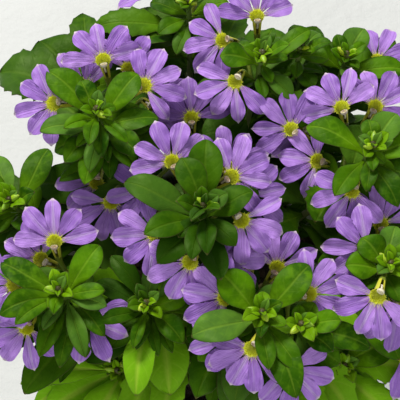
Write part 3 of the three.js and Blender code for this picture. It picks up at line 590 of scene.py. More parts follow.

# Young leaves reach less far than the first of these, and large ones as far as the second. Large
# ones are toothed from the third in width, and leaves may be paler from the fourth in reach,
# partly in their own colour and partly with painted light.
YOUNG_TO, LARGE_FROM, TOOTHED_FROM, PALE_FROM = 9.5, 26, 12.5, 23

# The point of the edge by which a leaf of each kind is known in the part, as shares of its length
# and of half its width
YOUNG_EDGE, MATURE_EDGE, LARGE_EDGE = (0.55, 1.0), (0.44, 0.86), (0.34, 0.6)

# The viewer looks down at this angle, and the unit vector points back from the plant to them.
FACING = np.radians(62)
TO_VIEW = np.array([0.0, -np.cos(FACING), np.sin(FACING)])
UP = np.array([0.0, 0.0, 1.0])


def vary(number, step):
    """Evenly spread values from -0.5 to 0.5: shares of the golden section, with whole turns left
    out."""
    return ((number * 0.618034 + step * 0.381966) % 1) - 0.5


def heading(azimuth):
    """A level unit vector at an azimuth in degrees."""
    angle = np.radians(azimuth)
    return np.stack([np.cos(angle), np.sin(angle), np.zeros_like(angle)], axis=-1)


def unit(vectors):
    """Vectors at length one."""
    return vectors / np.linalg.norm(vectors, axis=-1, keepdims=True)


def stem_at(shoot, level):
    """The stem's middle at a level below the growing point. It is upright in the soil and at its
    tip, and between them it leans by the smooth step 3h2 - 2h3 of its height's share h."""
    foot, tip = np.array(shoot["foot"], float), np.array(shoot["tip"], float)
    height = tip[2] - np.asarray(level, float)
    share = np.clip((height - SOIL_LEVEL) / (tip[2] - SOIL_LEVEL), 0, 1)
    lean = (share * share * (3 - 2 * share))[..., None]
    return np.concatenate([foot + (tip[:2] - foot) * lean, height[..., None]], axis=-1)


def lower_leaves(number, depth):
    """Leaves down the stem: two to a level, each a golden turn on from the last."""
    leaves = []
    for n in range(LOWER_LEAVES):
        level = LOWER_FROM + LOWER_STEP * (n // 2)
        if level < depth - LOWER_KEEP:
            azimuth = (SPIRAL_TURN * n + 50 * number) % 360
            reach = LOWER_REACH * (1 + 0.2 * vary(number, n))
            leaves.append((azimuth, reach, level - 3 + 8 * vary(n, number), LOWER_WIDTH, level))
    return leaves


# The ways that a leaf may have been bent clear of its neighbours: its tip's place along the line
# of view and sideways in degrees, a share of its reach, and its foot's place down the stem.
BENDS = np.array([
    (rise, turn, share, slide)
    for slide in (0, -2.5, 3)
    for turn, share in ((0, 1), (9, 1), (-9, 1), (0, 0.86), (17, 0.95), (-17, 0.95), (0, 0.72))
    for rise in (0, 2, -2, 4, -4, 6.5, -6.5)
])


def leaf_curve(shoot, leaf, bends):
    """The ends and the middle handle of a leaf's arched line, for each way of bending it: the
    handle stands above the middle of the chord by a share of the leaf's length."""
    azimuth, reach, drop, _, level = leaf
    rise, turn, share, slide = bends.T
    base = stem_at(shoot, np.maximum(level + slide, 2))
    end = np.array(shoot["tip"]) + heading(azimuth + turn) * (reach * share)[:, None]
    end = end - UP * drop + TO_VIEW * rise[:, None]
    length = np.linalg.norm(end - base, axis=-1, keepdims=True)
    return base, (base + end) / 2 + UP * LEAF_ARCH * length, end


def leaf_axes(base, end):
    """A leaf's unit vectors: along its chord, to its left, and out of its upper face."""
    along = unit(end - base)
    side = unit(np.cross(UP, along))
    return along, side, np.cross(along, side)


def corners_of(node):
    """The corners of a node of the part, in millimetres."""
    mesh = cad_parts[node].data
    corners = np.zeros(len(mesh.vertices) * 3, np.float32)
    mesh.vertices.foreach_get("co", corners)
    return corners.reshape(-1, 3) / METRE


def on_corner(points, corners):
    """Whether each point lies on a corner, within a twentieth of a millimetre."""
    gap = np.linalg.norm(points[:, None] - corners[None], axis=-1)
    return gap.min(axis=1) < 0.05


def bend_of(shoot, leaf, corners):
    """The way in which the part's own leaf is bent: the first whose tip and whose known point of
    the edge both lie on corners of the node. A leaf that the part has left out isn't bent."""
    _, reach, _, width, _ = leaf
    base, handle, end = leaf_curve(shoot, leaf, BENDS)
    _, side, normal = leaf_axes(base, end)
    t, share = MATURE_EDGE
    if reach < YOUNG_TO:
        t, share = YOUNG_EDGE
    elif reach >= LARGE_FROM:
        t, share = LARGE_EDGE
    half = width / 2 * share
    middle = base * (1 - t) ** 2 + handle * 2 * t * (1 - t) + end * t * t
    edge = middle + side * half + normal * (LEAF_FOLD * half + BLADE_HALF)
    found = on_corner(end + normal * BLADE_HALF, corners) & on_corner(edge, corners)
    return BENDS[np.argmax(found)][None]


# Half the width of a leaf, as a share of its greatest, at shares of its length
YOUNG_OUTLINE = np.array([
    (0.0, 0.42), (0.12, 0.52), (0.25, 0.71), (0.38, 0.87), (0.5, 0.97), (0.62, 1.0), (0.73, 0.94),
    (0.83, 0.78), (0.91, 0.55), (0.97, 0.28), (1.0, 0.06),
])
SMOOTH_OUTLINE = np.array([
    (0.0, 0.15), (0.07, 0.13), (0.14, 0.17), (0.21, 0.31), (0.28, 0.49), (0.36, 0.68),
    (0.44, 0.84), (0.52, 0.95), (0.6, 1.0), (0.68, 1.0), (0.76, 0.94), (0.83, 0.83),
    (0.89, 0.67), (0.94, 0.47), (0.98, 0.24), (1.0, 0.04),
])
TOOTHED_OUTLINE = np.array([
    (0.0, 0.11), (0.06, 0.1), (0.12, 0.12), (0.2, 0.22), (0.27, 0.36), (0.33, 0.58), (0.35, 0.5),
    (0.42, 0.69), (0.475, 0.93), (0.495, 0.83), (0.54, 0.9), (0.59, 1.06), (0.61, 0.93),
    (0.66, 0.95), (0.71, 1.04), (0.73, 0.89), (0.775, 0.88), (0.82, 0.9), (0.84, 0.75),
    (0.88, 0.67), (0.91, 0.61), (0.93, 0.46), (0.96, 0.3), (0.985, 0.14), (1.0, 0.02),
])
ACROSS = np.sin(np.linspace(-1, 1, 11) * np.pi / 2 * 0.94) / np.sin(np.pi / 2 * 0.94)


def sheet_faces(rows, columns):
    """Corner numbers of a thin closed sheet: a grid seen from above, the same grid under it, and
    the rim that joins them."""
    above = np.arange(rows * columns).reshape(rows, columns)
    top = grid_faces(rows, columns)
    under = top[:, ::-1] + rows * columns
    rim = np.concatenate([above[0, :-1], above[:-1, -1], above[-1, :0:-1], above[:0:-1, 0]])
    following = np.roll(rim, -1)
    edge = np.stack([rim, following, following + rows * columns, rim + rows * columns], axis=-1)
    return np.concatenate([top, under, edge])


def sheet(middle, normal, thickness, looks, material):
    """A thin closed sheet about a grid of points: half the thickness goes to each side, along
    the normal. Its marks are the shares along and across it and which side is under, and its
    looks."""
    rows, columns = middle.shape[:2]
    half = normal * thickness[..., None] / 2
    points = np.concatenate([(middle + half).reshape(-1, 3), (middle - half).reshape(-1, 3)])
    along, across = np.meshgrid(np.linspace(0, 1, rows), np.linspace(-1, 1, columns), indexing="ij")
    flat = np.stack([along.ravel(), across.ravel(), np.zeros(rows * columns)], axis=-1)
    place = np.concatenate([flat, flat + np.array([0, 0, 1.0])])
    looks = np.tile(looks, (len(points), 1))
    return closed_part(points, sheet_faces(rows, columns), material, place=place, looks=looks)


def leaf_part(shoot, leaf, bend, number):
    """A leaf's blade: its middle line is the arched curve, its edges lie to either side by the
    outline, and its face is folded up a little, grooved along the midrib, ruffled near the
    edges, twisted along its length and turned down at the tip. On the viewer's side it hangs
    narrower and more folded. Its looks are its own tone, its age, and how much painted shade
    darkens it."""
    azimuth, reach, _, width, level = leaf
    base, handle, end = (point[0] for point in leaf_curve(shoot, leaf, bend))
    _, side, normal = leaf_axes(base, end)
    outline = SMOOTH_OUTLINE
    if reach < YOUNG_TO:
        outline = YOUNG_OUTLINE
    elif reach >= LARGE_FROM and width >= TOOTHED_FROM:
        outline = TOOTHED_OUTLINE
    t, share = outline.T[:, :, None]
    line = base * (1 - t) ** 2 + handle * 2 * t * (1 - t) + end * t * t
    length = np.linalg.norm(end - base)
    near = max(-heading(azimuth)[1], 0) if reach < PALE_FROM else 0
    hanging = near * shoot.get("hang", USUAL_HANG)
    x = width / 2 * (1 - 0.22 * hanging) * share * ACROSS
    sway = 0.08 * length * vary(number, 3) * np.sin(np.pi * t)
    steep = 1.35 + 1.5 * vary(number, 6) + 2.4 * max(1 - reach / YOUNG_TO, 0) + 1.8 * hanging
    fold = LEAF_FOLD * steep * np.abs(x) * (1 - 0.5 * ACROSS ** 2)
    wave = 0.05 * width * np.sin(2 * np.pi * (1.5 * t + vary(number, 5)) + 1.4 * ACROSS)
    groove = -0.12 * np.exp(-(x / 0.5) ** 2)
    twist = 0.5 * vary(number, 11) * x * t
    droop = 0.07 * length * (1 + vary(number, 8)) * np.maximum(t - 0.7, 0) ** 2 / 0.09
    lift = fold + wave * ACROSS ** 2 + groove + twist - droop
    middle = line[:, None] + side * (x + sway)[..., None] + normal * lift[..., None]
    thickness = 0.42 - 0.2 * ACROSS ** 2 + 0 * x
    age = np.clip((reach - 4) / 16 + 0.5 * vary(number, 14) + shoot.get("ripe", 0), -0.1, 1)
    # Painted shade: darker further down the stem, on the viewer's side, on the shoot's left by
    # "dark" and all over the shoot by "shade".
    dark = shoot.get("dark", 0) * max(heading(azimuth) @ PAINTED_SHADE_SIDE, 0)
    # Large leaves are paler by "pale", partly in their own colour and partly with painted light.
    if reach >= PALE_FROM:
        age += shoot.get("pale", 0)
    depth = np.clip((level - 6) / 30 + 0.55 * near, 0, 1) + dark + shoot.get("shade", 0)
    return sheet(middle, normal, thickness, (0.5 + vary(number, 1), age, depth), LEAF_SKIN)


def tube_part(path, radius, sides, material, looks=(0.5, 0.5, 0)):
    """A round closed tube: circles stand square to the path, each about its point, and the two
    ends are closed with flat caps. Its marks say how far along and how far round."""
    tangent = unit(np.gradient(path, axis=0))
    steep = abs(path[-1, 2] - path[0, 2]) > 0.7 * np.linalg.norm(path[-1] - path[0])
    left = unit(np.cross((0, 1, 0) if steep else (0, 0, 1), tangent))
    back = np.cross(tangent, left)
    turn = np.arange(sides) * 2 * np.pi / sides
    ring = np.cos(turn)[None, :, None] * left[:, None] + np.sin(turn)[None, :, None] * back[:, None]
    points = path[:, None] + ring * np.asarray(radius, float).reshape(-1, 1, 1)
    rows = len(path)
    faces = [face[::-1] for face in capped_faces(rows, sides)]
    along, round_it = np.meshgrid(np.linspace(0, 1, rows), turn / np.pi - 1, indexing="ij")
    place = np.stack([along.ravel(), round_it.ravel(), np.zeros(rows * sides)], axis=-1)
    looks = np.tile(looks, (rows * sides, 1))
    return closed_part(points, faces, material, place=place, looks=looks)


def leaf_material():
    """Leaf skin: each leaf has its own green, greyish with a painted sheen on a few, yellower when
    young, and paler when large on some shoots, partly in its own colour and partly with painted
    light. Painted shade darkens it down the stem, on the viewer's side, on some shoots' left and
    over whole shaded crowns. It is clouded with patches, and yellower at its foot. It has a pale
    midrib, broad on the palest leaves, with side veins that run forward from it, a fine dark
    margin, a browned point and a dull underside."""
    material, tree, shader = new_material("leaf", (0.06, 0.16, 0.002), 0.4)
    shader.inputs["Specular IOR Level"].default_value = 0.12
    shader.inputs["Specular Tint"].default_value = (0.7, 0.95, 0.3, 1)
    along, across, under = marks_of(tree, "place")
    tone, age, depth = marks_of(tree, "looks")
    coarse, fine = add_grain(tree, 260)
    patches, _ = add_grain(tree, 120)
    aside = maths(tree, "ABSOLUTE", across)
    large = step_up(tree, age, 1.0, 1.8)
    green = layered(
        tree,
        blended(tree, tone, (0.014, 0.06, 0.0006), (0.098, 0.25, 0.0012)),
        (step_up(tree, patches, 0.42, 0.62, 0.0, 0.55), (0.012, 0.058, 0.001)),
        (step_up(tree, coarse, 0.45, 0.7, 0.0, 0.45), (0.12, 0.27, 0.004)),
        (step_up(tree, along, 0.0, 0.6, 0.6, 0.0), (0.17, 0.34, 0.002)),
        (step_up(tree, aside, 0.45, 1.0, 0.0, 0.4), (0.012, 0.055, 0.001)),
        (step_up(tree, age, -0.1, 0.3, 0.75, 0.0), (0.19, 0.38, 0.003)),
        # A few leaves, by their tone, get a greyish painted sheen.
        (step_up(tree, tone, 0.8, 0.84, 0.0, 0.4), (0.09, 0.175, 0.045)),
        # Large leaves are paler, partly in their own colour and partly with painted light.
        (large, (0.2, 0.46, 0.009)),
    )

    broad = times(tree, step_up(tree, aside, 0.03, 0.17, 1.0, 0.0), large)
    midrib = maths(tree, "MAXIMUM", step_up(tree, aside, 0.01, 0.09, 1.0, 0.0), broad)
    slanted = maths(tree, "SUBTRACT", along, times(tree, aside, 0.24))
    beat = maths(tree, "PINGPONG", times(tree, slanted, 7.0), 0.5)
    vein = times(tree, step_up(tree, beat, 0.0, 0.12, 1.0, 0.0),
                 step_up(tree, aside, 0.5, 0.9, 1.0, 0.0))
    strength = maths(tree, "ADD", times(tree, large, 0.6), 0.17)
    veins = maths(tree, "MAXIMUM", times(tree, midrib, strength),
                  times(tree, vein, times(tree, strength, 0.25)))
    # Painted shade: leaves marked deeper turn a dark green, large ones less.
    shaded = times(tree, depth, step_up(tree, age, 1.0, 1.8, 0.62, 0.1))
    margin = times(tree, step_up(tree, aside, 0.9, 0.98), step_up(tree, coarse, 0.3, 0.5))
    colour = layered(
        tree,
        green,
        (veins, (0.33, 0.5, 0.04)),
        (step_up(tree, fine, 0.6, 0.74, 0.0, 0.3), (0.14, 0.27, 0.03)),
        (shaded, (0.014, 0.05, 0.001)),
        (times(tree, margin, 0.75), (0.05, 0.025, 0.015)),
        (step_up(tree, along, 0.95, 1.0, 0.0, 0.7), (0.11, 0.06, 0.025)),
        (times(tree, under, 0.5), (0.1, 0.21, 0.04)),
    )
    tree.links.new(colour, shader.inputs["Base Color"])
    gloss = maths(tree, "ADD", step_up(tree, coarse, 0.3, 0.7, 0.4, 0.54), times(tree, under, 0.2))
    tree.links.new(gloss, shader.inputs["Roughness"])
    grooves = maths(tree, "MAXIMUM", times(tree, midrib, 0.35), times(tree, vein, 0.05))
    pits = maths(tree, "ADD", times(tree, fine, 0.1), times(tree, coarse, 0.7))
    add_bump(tree, shader, maths(tree, "SUBTRACT", pits, grooves), 0.0004)
    return material


def stem_material():
    """Stem skin: green near the growing point, brownish and drier towards the soil, flushed with
    maroon in patches."""
    material, tree, shader = new_material("stem", (0.12, 0.17, 0.03), 0.5)
    along, _, _ = marks_of(tree, "place")
    coarse, fine = add_grain(tree, 400)
    colour = layered(
        tree,
        blended(tree, along, (0.14, 0.085, 0.04), (0.1, 0.19, 0.02)),
        (step_up(tree, coarse, 0.5, 0.75, 0.0, 0.5), (0.12, 0.05, 0.05)),
    )
    tree.links.new(colour, shader.inputs["Base Color"])
    add_bump(tree, shader, fine, 0.0002)
    return material


def bud_material():
    """Buds and ovaries: pale yellow-green with faint ribs and a duller tip, but maroon in the
    growing point."""
    material, tree, shader = new_material("bud", (0.28, 0.42, 0.03), 0.45)
    along, round_it, _ = marks_of(tree, "place")
    tone, maroon, _ = marks_of(tree, "looks")
    rib = maths(tree, "PINGPONG", times(tree, round_it, 5.0), 0.5)
    colour = layered(
        tree,
        blended(tree, tone, (0.2, 0.4, 0.004), (0.44, 0.6, 0.01)),
        (step_up(tree, along, 0.75, 1.0, 0.0, 0.4), (0.34, 0.3, 0.06)),
        (step_up(tree, rib, 0.0, 0.2, 0.25, 0.0), (0.12, 0.2, 0.01)),
        (maroon, (0.035, 0.012, 0.01)),
    )
    tree.links.new(colour, shader.inputs["Base Color"])
    add_bump(tree, shader, rib, 0.0001)
    return material


def bud_part(shoot, azimuth, reach, rise, level, maroon, number):
    """A closed bud: an oval drawn out to a point, standing out from the stem among the leaves."""
    start = stem_at(shoot, level)
    end = np.array(shoot["tip"]) + heading(np.array(azimuth)) * reach + UP * rise
    t = np.linspace(0, 1, BUD_ROWS)[:, None]
    path = start + (end - start) * (0.1 + 0.98 * t) + UP * 0.4 * np.sin(np.pi * t)
    radius = 0.2 + 1.2 * np.sin(np.pi * t ** 0.85) ** 0.8 * (1 - 0.35 * t)
    radius[-1] = 0.06
    return tube_part(path, radius, ROUND_SIDES, BUD_SKIN, (0.5 + vary(number, 2), maroon, 0))


shoot_skins = [leaf_material(), stem_material(), bud_material()]

# Each bud's azimuth, reach, rise over the growing point, level on the stem, and how maroon it is
BUD_SPOTS = (
    (40, 0.5, 0.8, 2, 0.9),
    (200, 0.9, 0.2, 2, 0.8),
    (70, 3.8, 0.8, 2, 0),
    (-50, 4.6, 0, 2.5, 0),
)
BUD_TURN = 55

# Leaves that stand free of the rest, in the same form as the table's rows
FREE_LEAVES = {
    "i": [(189, 35, 8, 13, 13), (197, 41, 12, 12, 18), (-150, 22, 9, 10, 14)],
    "j": [(130, 25, 2, 19, 7), (9, 40, -1, 13, 10), (-5, 21, 0, 11, 5)],
    "m": [(185, 31, -5, 10.5, 3), (-165, 30, 10, 12, 12)],
    "d": [(-165, 26, 34, 12, 40)],
}
LEAFLETS = 7
NEAR_LEAVES = 6
FILLERS = 16
FILLER_FROM = 15
FILLER_STEP = 3.3
FILLER_KEEP = 8


def leaflets(number):
    """The youngest leaves, packed round the growing point: each is a golden turn on from the
    last, further out, larger and lower."""
    n = np.arange(LEAFLETS)
    azimuth = (SPIRAL_TURN * n + 70 * number) % 360
    drop = 0.6 * n - 3.2 + 1.6 * vary(n, number)
    return [(azimuth[k], 2.2 + 0.7 * k, drop[k], 2.2 + 0.4 * k, 1 + 0.6 * k) for k in n]


def near_leaves(number):
    """Narrow leaves packed on the viewer's side of a crown, where they hang over one another."""
    n = np.arange(NEAR_LEAVES)
    azimuth = -90 + 125 * vary(n, number)
    reach = 12.5 + 6 * vary(n, number + 3)
    level = 8 + 0.45 * reach * (1 + vary(n, 2))
    return [(azimuth[k], reach[k], level[k] - 3.5, 5.4 + vary(k, 4), level[k]) for k in n]


def fillers(number, depth):
    """Small shaded leaves all down the stem, under the crown: each is a golden turn on from the
    last, and ends about level with where it starts."""
    n = np.arange(FILLERS)
    level = FILLER_FROM + FILLER_STEP * n
    azimuth = (SPIRAL_TURN * n + 31 + 64 * number) % 360
    reach = 15 + 8 * (vary(n, number) + 0.5)
    drop = level - 3 + 6 * vary(n, number + 3)
    return [
        (azimuth[k], reach[k], drop[k], 8.5 + 2 * vary(k, 4), level[k])
        for k in n if level[k] < depth - FILLER_KEEP
    ]


for number, (name, shoot) in enumerate(SHOOTS.items()):
    corners = corners_of(f"shoot_{name}")
    depth = shoot["tip"][2] - SOIL_LEVEL
    levels = np.linspace(depth + STEM_BURIED, -0.4, STEM_ROWS)
    radius = STEM_RADIUS + STEM_SWELL * np.clip(levels / depth, 0, 1)
    nodes = NODE_SWELL * np.cos(levels * 2 * np.pi / NODE_STEP) ** 8
    parts = [tube_part(stem_at(shoot, levels), radius + nodes, ROUND_SIDES, STEM_SKIN)]
    for count, leaf in enumerate(shoot["leaves"] + lower_leaves(number, depth)):
        bend = bend_of(shoot, leaf, corners)
        if count >= len(shoot["leaves"]):
            azimuth, reach, drop, width, level = leaf
            slump = shoot.get("slump", 0)
            leaf = (azimuth, reach, drop + slump, width, level + slump)
        parts.append(leaf_part(shoot, leaf, bend, count + 7 * number))
    more = leaflets(number) + near_leaves(number) + fillers(number, depth)
    for count, leaf in enumerate(more + FREE_LEAVES.get(name, [])):
        parts.append(leaf_part(shoot, leaf, BENDS[:1], count + 11 * number + 40))
    for count, (azimuth, reach, rise, level, maroon) in enumerate(BUD_SPOTS):
        spun = azimuth + BUD_TURN * number
        parts.append(bud_part(shoot, spun, reach, rise, level, maroon, count + number))
    foliage = make_piece(f"foliage_{name}", parts, shoot_skins, sharp=50.0)
    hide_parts(f"shoot_{name}")


# Blooms
# Each bloom is a violet fan of five petals on one side of a split tube. A petal is a firm middle
# band with two thin ruffled wings. The tube is yellow in its mouth and set with yellow hairs, the
# style carries a small cup over it, and a green stalk holds it to its shoot.

# A bloom has its shoot, its throat's place, the direction that its fan points, its lean towards
# the viewer and its pitch, which are all in degrees.
BLOOMS = {
    "a1": ("a", -33, 48, 176, 100, 28, 0),
    "a2": ("a", -49, 32, 174, 192, 24, -4),
    "a3": ("a", -19, 39, 174, 25, 24, 0),
    "a4": ("a", -40, 44, 166, 125, 28, 4),
    "a6": ("a", -36, 15, 150, -100, 24, 0),
    "a5": ("a", -25, 49, 169, 60, 28, 8),
    "b1": ("b", -9, 8, 176, 115, 28, 0),
    "b2": ("b", 10, 2, 177, 30, 26, 0),
    "b3": ("b", 13, -13, 176, -50, 26, 0),
    "b4": ("b", -14, -17, 174, 185, 26, 0),
    "b5": ("b", -3, -25, 171, 238, 26, -4),
    "b6": ("b", 7, -25, 171, -78, 26, -4),
    "c1": ("c", -47, -16, 166, 93, 28, 0),
    "c2": ("c", -52, -20, 161, 150, 28, 4),
    "c3": ("c", -59, -30, 164, 205, 22, -6),
    "c4": ("c", -56, -40, 153, 240, 24, -6),
    "c5": ("c", -36, -35, 150, -60, 24, -4),
    "e1": ("e", 16, -19, 156, 100, 28, 0),
    "e2": ("e", 25, -22, 159, 62, 28, 0),
    "e3": ("ee", 34, -35, 168, 18, 24, 0),
    "e4": ("e", 8, -36, 168, 172, 26, 0),
    "e5": ("e", 16, -53, 168, 238, 24, -4),
    "e6": ("e", 10, -47, 163, 198, 24, -2),
    "e7": ("ee", 28, -57, 162, -52, 24, -8),
    "f1": ("f", 20, 68, 174, 95, 28, 0),
    "f2": ("f", 8, 58, 174, 190, 24, 0),
    "f3": ("f", 12, 41, 174, 237, 26, 0),
    "f4": ("ff", 35, 31, 160, 150, 24, 0),
    "f5": ("fff", 64, 62, 156, 25, 10, 0),
    "g1": ("g", 48, 32, 171, 115, 28, 0),
    "g2": ("g", 60, 35, 167, 62, 26, 0),
    "g3": ("g", 40, 16, 163, 170, 26, 0),
    "g4": ("g", 50, 2, 168, 235, 26, -2),
    "g5": ("g", 73, 15, 166, 5, 8, 0),
    "h1": ("h", 55, -33, 164, 240, 26, -2),
    "h2": ("h", 54, -17, 163, 175, 26, 0),
    "h3": ("h", 60, -6, 159, 98, 28, 0),
    "h4": ("h", 75, -28, 158, -10, 8, -4),
    "i1": ("i", -2, 91, 164, 85, -6, 0),
    "i2": ("i", -17, 90, 160, 130, -4, 0),
    "k1": ("k", -79, 2, 142, 190, 12, -4),
    "l1": ("l", 66, -47, 146, -20, 12, -6),
}
PETAL_ANGLES = np.array([-78, -39, 0, 38, 77])
PETALS = len(PETAL_ANGLES)
PETAL_LENGTH = 13.6
PETAL_HALF = 2.95
PETAL_BAND = 0.85
CURL_FROM = 0.66
THROAT_RADIUS = 2.3
HAIR_RADIUS, MOUTH_HAIR_RADIUS = 0.22, 0.12
TUBE_DROP = 7.2
TUBE_BACK = 4.6
TUBE_END = 1.1
TUBE_MIDDLE = 1.5
TUBE_TURN = 156
TUBE_ROWS, TUBE_COLUMNS = 12, 21
THROAT_HAIRS = 240
MOUTH_HAIRS = 26
HAIR_TURN, MOUTH_HAIR_TURN = 118, 98
STYLE_SIDES = 8
CUP_SIDES = 14
STALK_ROWS = 14
STALK_SLOPE = 0.45

# Shares of a turn and of a depth that spread points evenly over a surface
EVEN_TURN, EVEN_DEPTH = 0.569840, 0.754878

# The materials' places in a bloom's mesh
PETAL_SKIN, TUBE_SKIN, HAIR_SKIN, CUP_SKIN = range(4)

# The ways that a bloom may have been set clear of its neighbours: its throat's place along the
# line of view, and its pitch.
SHIFTS = np.array([
    (rise, pitch)
    for pitch in (0, 9, -9, 18)
    for rise in (0, 1.5, -1.5, 3, -3, 4.5, -4.5, 6.5, -6.5, 9)
])


def bloom_axes(bloom, shift):
    """A bloom's throat, and its unit vectors along the fan's middle, across it and out of its
    face, for one shift. The face leans from upright towards the viewer, and a pitch tips the
    fan's middle up towards it."""
    _, x, y, z, aim, lean, pitch = bloom
    rise, extra = shift
    aim, lean, tip = np.radians((aim, lean, pitch + extra))
    face = np.array([0, -np.sin(lean), np.cos(lean)])
    middle = np.array([np.cos(aim), np.sin(aim) * np.cos(lean), np.sin(aim) * np.sin(lean)])
    across = np.cross(face, middle)
    tipped = middle * np.cos(tip) + face * np.sin(tip)
    face = face * np.cos(tip) - middle * np.sin(tip)
    return np.array([x, y, z]) + TO_VIEW * rise, tipped, across, face


def petal_rows(number):
    """The five petals' angles from the fan's middle, in radians, and their lengths."""
    step = np.arange(PETALS)
    angles = np.radians(PETAL_ANGLES + 4.5 * vary(number, step))
    return angles, PETAL_LENGTH * (1 + 0.14 * vary(number + 7, step))


def petal_tips(bloom, shift, number):
    """Where the part's own petals end: the upper corners of their points."""
    throat, middle, across, face = bloom_axes(bloom, shift)
    angles, lengths = petal_rows(number)
    along = middle * np.cos(angles)[:, None] + across * np.sin(angles)[:, None]
    out = (THROAT_RADIUS + lengths - THROAT_RADIUS / 2)[:, None]
    return throat + along * out - face * 1.2 + face * BLADE_HALF


def shift_of(bloom, number, corners):
    """The shift that the part's own bloom has: the one whose outer petals' points are corners of
    its node."""
    for shift in SHIFTS:
        if on_corner(petal_tips(bloom, shift, number)[[0, -1]], corners).all():
            return shift
    return SHIFTS[0]


# Half the width of a petal, as a share of its greatest, at shares of its length
PETAL_OUTLINE = np.array([
    (0.0, 0.25), (0.07, 0.31), (0.15, 0.42), (0.23, 0.56), (0.31, 0.69), (0.39, 0.81),
    (0.47, 0.91), (0.55, 0.98), (0.63, 1.0), (0.7, 0.97), (0.77, 0.89), (0.835, 0.75),
    (0.885, 0.58), (0.925, 0.38), (0.955, 0.2), (1.0, 0.05),
])
PETAL_ACROSS = np.array([-1, -0.82, -0.6, -0.38, -0.2, 0, 0.2, 0.38, 0.6, 0.82, 1])


def petal_part(throat, middle, across, face, angle, length, shade, number):
    """A petal: its line leaves the throat level with the fan, rises a little, bends sideways and
    curls back at the tip. The middle band is flat and grooved along its edges, the wings stand up
    beside it, and they are ruffled by waves that grow with the distance from the band. The whole
    petal twists along its line. Its looks are its own tone, how pale its band is and its
    painted shade."""
    along = middle * np.cos(angle) + across * np.sin(angle)
    side = np.cross(face, along)
    t, share = PETAL_OUTLINE.T[:, :, None]
    share = share ** (1 + 0.5 * vary(number, 15))
    uneven = 1 + 0.06 * np.sin(9 * t + 6 * vary(number, 2)) * np.sign(PETAL_ACROSS)
    x = PETAL_HALF * (1 + 0.26 * vary(number, 10)) * share * PETAL_ACROSS * uneven
    band = PETAL_BAND * (1 - 0.6 * t)
    wing = np.maximum(np.abs(x) - band, 0)
    ruffle = np.sin(2 * np.pi * (2.3 * t + vary(number, 4)) + np.sign(x) * 1.2)
    steep = 0.5 + 0.6 * vary(number, 12)
    lift = 1.8 * t - 3 * t * t + steep * wing * (1 - 0.35 * np.abs(PETAL_ACROSS))
    lift = lift + 0.26 * wing * ruffle * np.sin(np.pi * t) ** 0.5
    lift = lift - 0.16 * np.exp(-((np.abs(x) - band) / 0.25) ** 2) * (1 - t)
    curl = np.clip((t - CURL_FROM) / (1 - CURL_FROM), 0, 1)
    curled = 0.5 + 2.2 * (vary(number, 6) + 0.5) ** 2
    lift = lift - curled * curl ** 2 * (1 - 0.2 * PETAL_ACROSS ** 2)
    lift = lift + 0.75 * vary(number, 13) * x * t
    bend = 1.8 * vary(number, 9) * t * t
    reach = THROAT_RADIUS + (length - THROAT_RADIUS / 2) * t - 0.5 * curl ** 2
    points = throat + along * (reach + 0 * x)[..., None]
    points = points + side * (x + bend)[..., None] + face * lift[..., None]
    looks = (0.5 + vary(number, 1), 0.5 + vary(number, 7), shade)
    thickness = 0.34 - 0.16 * PETAL_ACROSS ** 2 + 0 * x
    part = sheet(points, face + 0 * points, thickness, looks, PETAL_SKIN)

    # Its band, streaks and lines follow the distance from the middle line, in millimetres.
    mark = np.stack([t + 0 * x, x, 0 * x], axis=-1).reshape(-1, 3)
    part["marks"]["place"] = np.concatenate([mark, mark + np.array([0, 0, 1.0])])
    return part


def tube_sheet(throat, tube_end, middle, across, number):
    """The split tube: rings of growing radius stand along the line from the stalk to the throat.
    Each is open by a slit at the back, and the last ones flare out to the petals' bases."""
    t = np.linspace(0, 1, TUBE_ROWS)[:, None]
    round_it = np.radians(np.linspace(-TUBE_TURN, TUBE_TURN, TUBE_COLUMNS))
    axis = unit(throat - tube_end)
    out = unit(middle - axis * (middle @ axis))
    wide = np.cross(axis, out)
    flare = np.clip((t - 0.78) / 0.22, 0, 1)
    radius = TUBE_END + (TUBE_MIDDLE - TUBE_END) * np.minimum(t / 0.6, 1) + 0.95 * flare ** 1.3
    turned_up = np.clip((t - 0.7) / 0.3, 0, 1)[..., None]
    forward = out * (1 - turned_up) + middle * turned_up
    sideways = wide * (1 - turned_up) + across * turned_up
    centre = tube_end + (throat - tube_end) * t[..., None]
    back = np.clip((np.abs(round_it) - 1.4) / 1.1, 0, 1)
    ring = forward * np.cos(round_it)[:, None] + sideways * np.sin(round_it)[:, None]
    points = centre + ring * (radius * (1 - 0.35 * back * flare))[..., None]
    points = points - axis * (1.2 * back * t ** 2)[..., None]
    inward = unit(centre - axis - points)
    thickness = 0.28 + 0.25 * (np.abs(round_it) / round_it.max()) ** 6 + 0 * t
    return sheet(points, inward, thickness, (0.5 + vary(number, 3), 0, 0), TUBE_SKIN)


def spikes(foot, tip, radius):
    """Hairs: a three-sided spike from each foot to its tip."""
    aim = unit(tip - foot)
    left = unit(np.cross(aim, (0.3, 0.9, 0.31)))
    up = np.cross(aim, left)
    turn = np.radians([90, 210, 330])
    ring = left[:, None] * np.cos(turn)[None, :, None] + up[:, None] * np.sin(turn)[None, :, None]
    points = np.concatenate([foot[:, None] + radius * ring, tip[:, None]], axis=1)
    faces = np.array([(0, 1, 3), (1, 2, 3), (2, 0, 3), (0, 2, 1)])
    faces = (faces + 4 * np.arange(len(foot))[:, None, None]).reshape(-1, 3)
    along = np.tile((0, 0, 0, 1.0), len(foot))
    place = np.stack([along, 0 * along, 0 * along], axis=-1)
    return closed_part(points, faces, HAIR_SKIN, place=place)


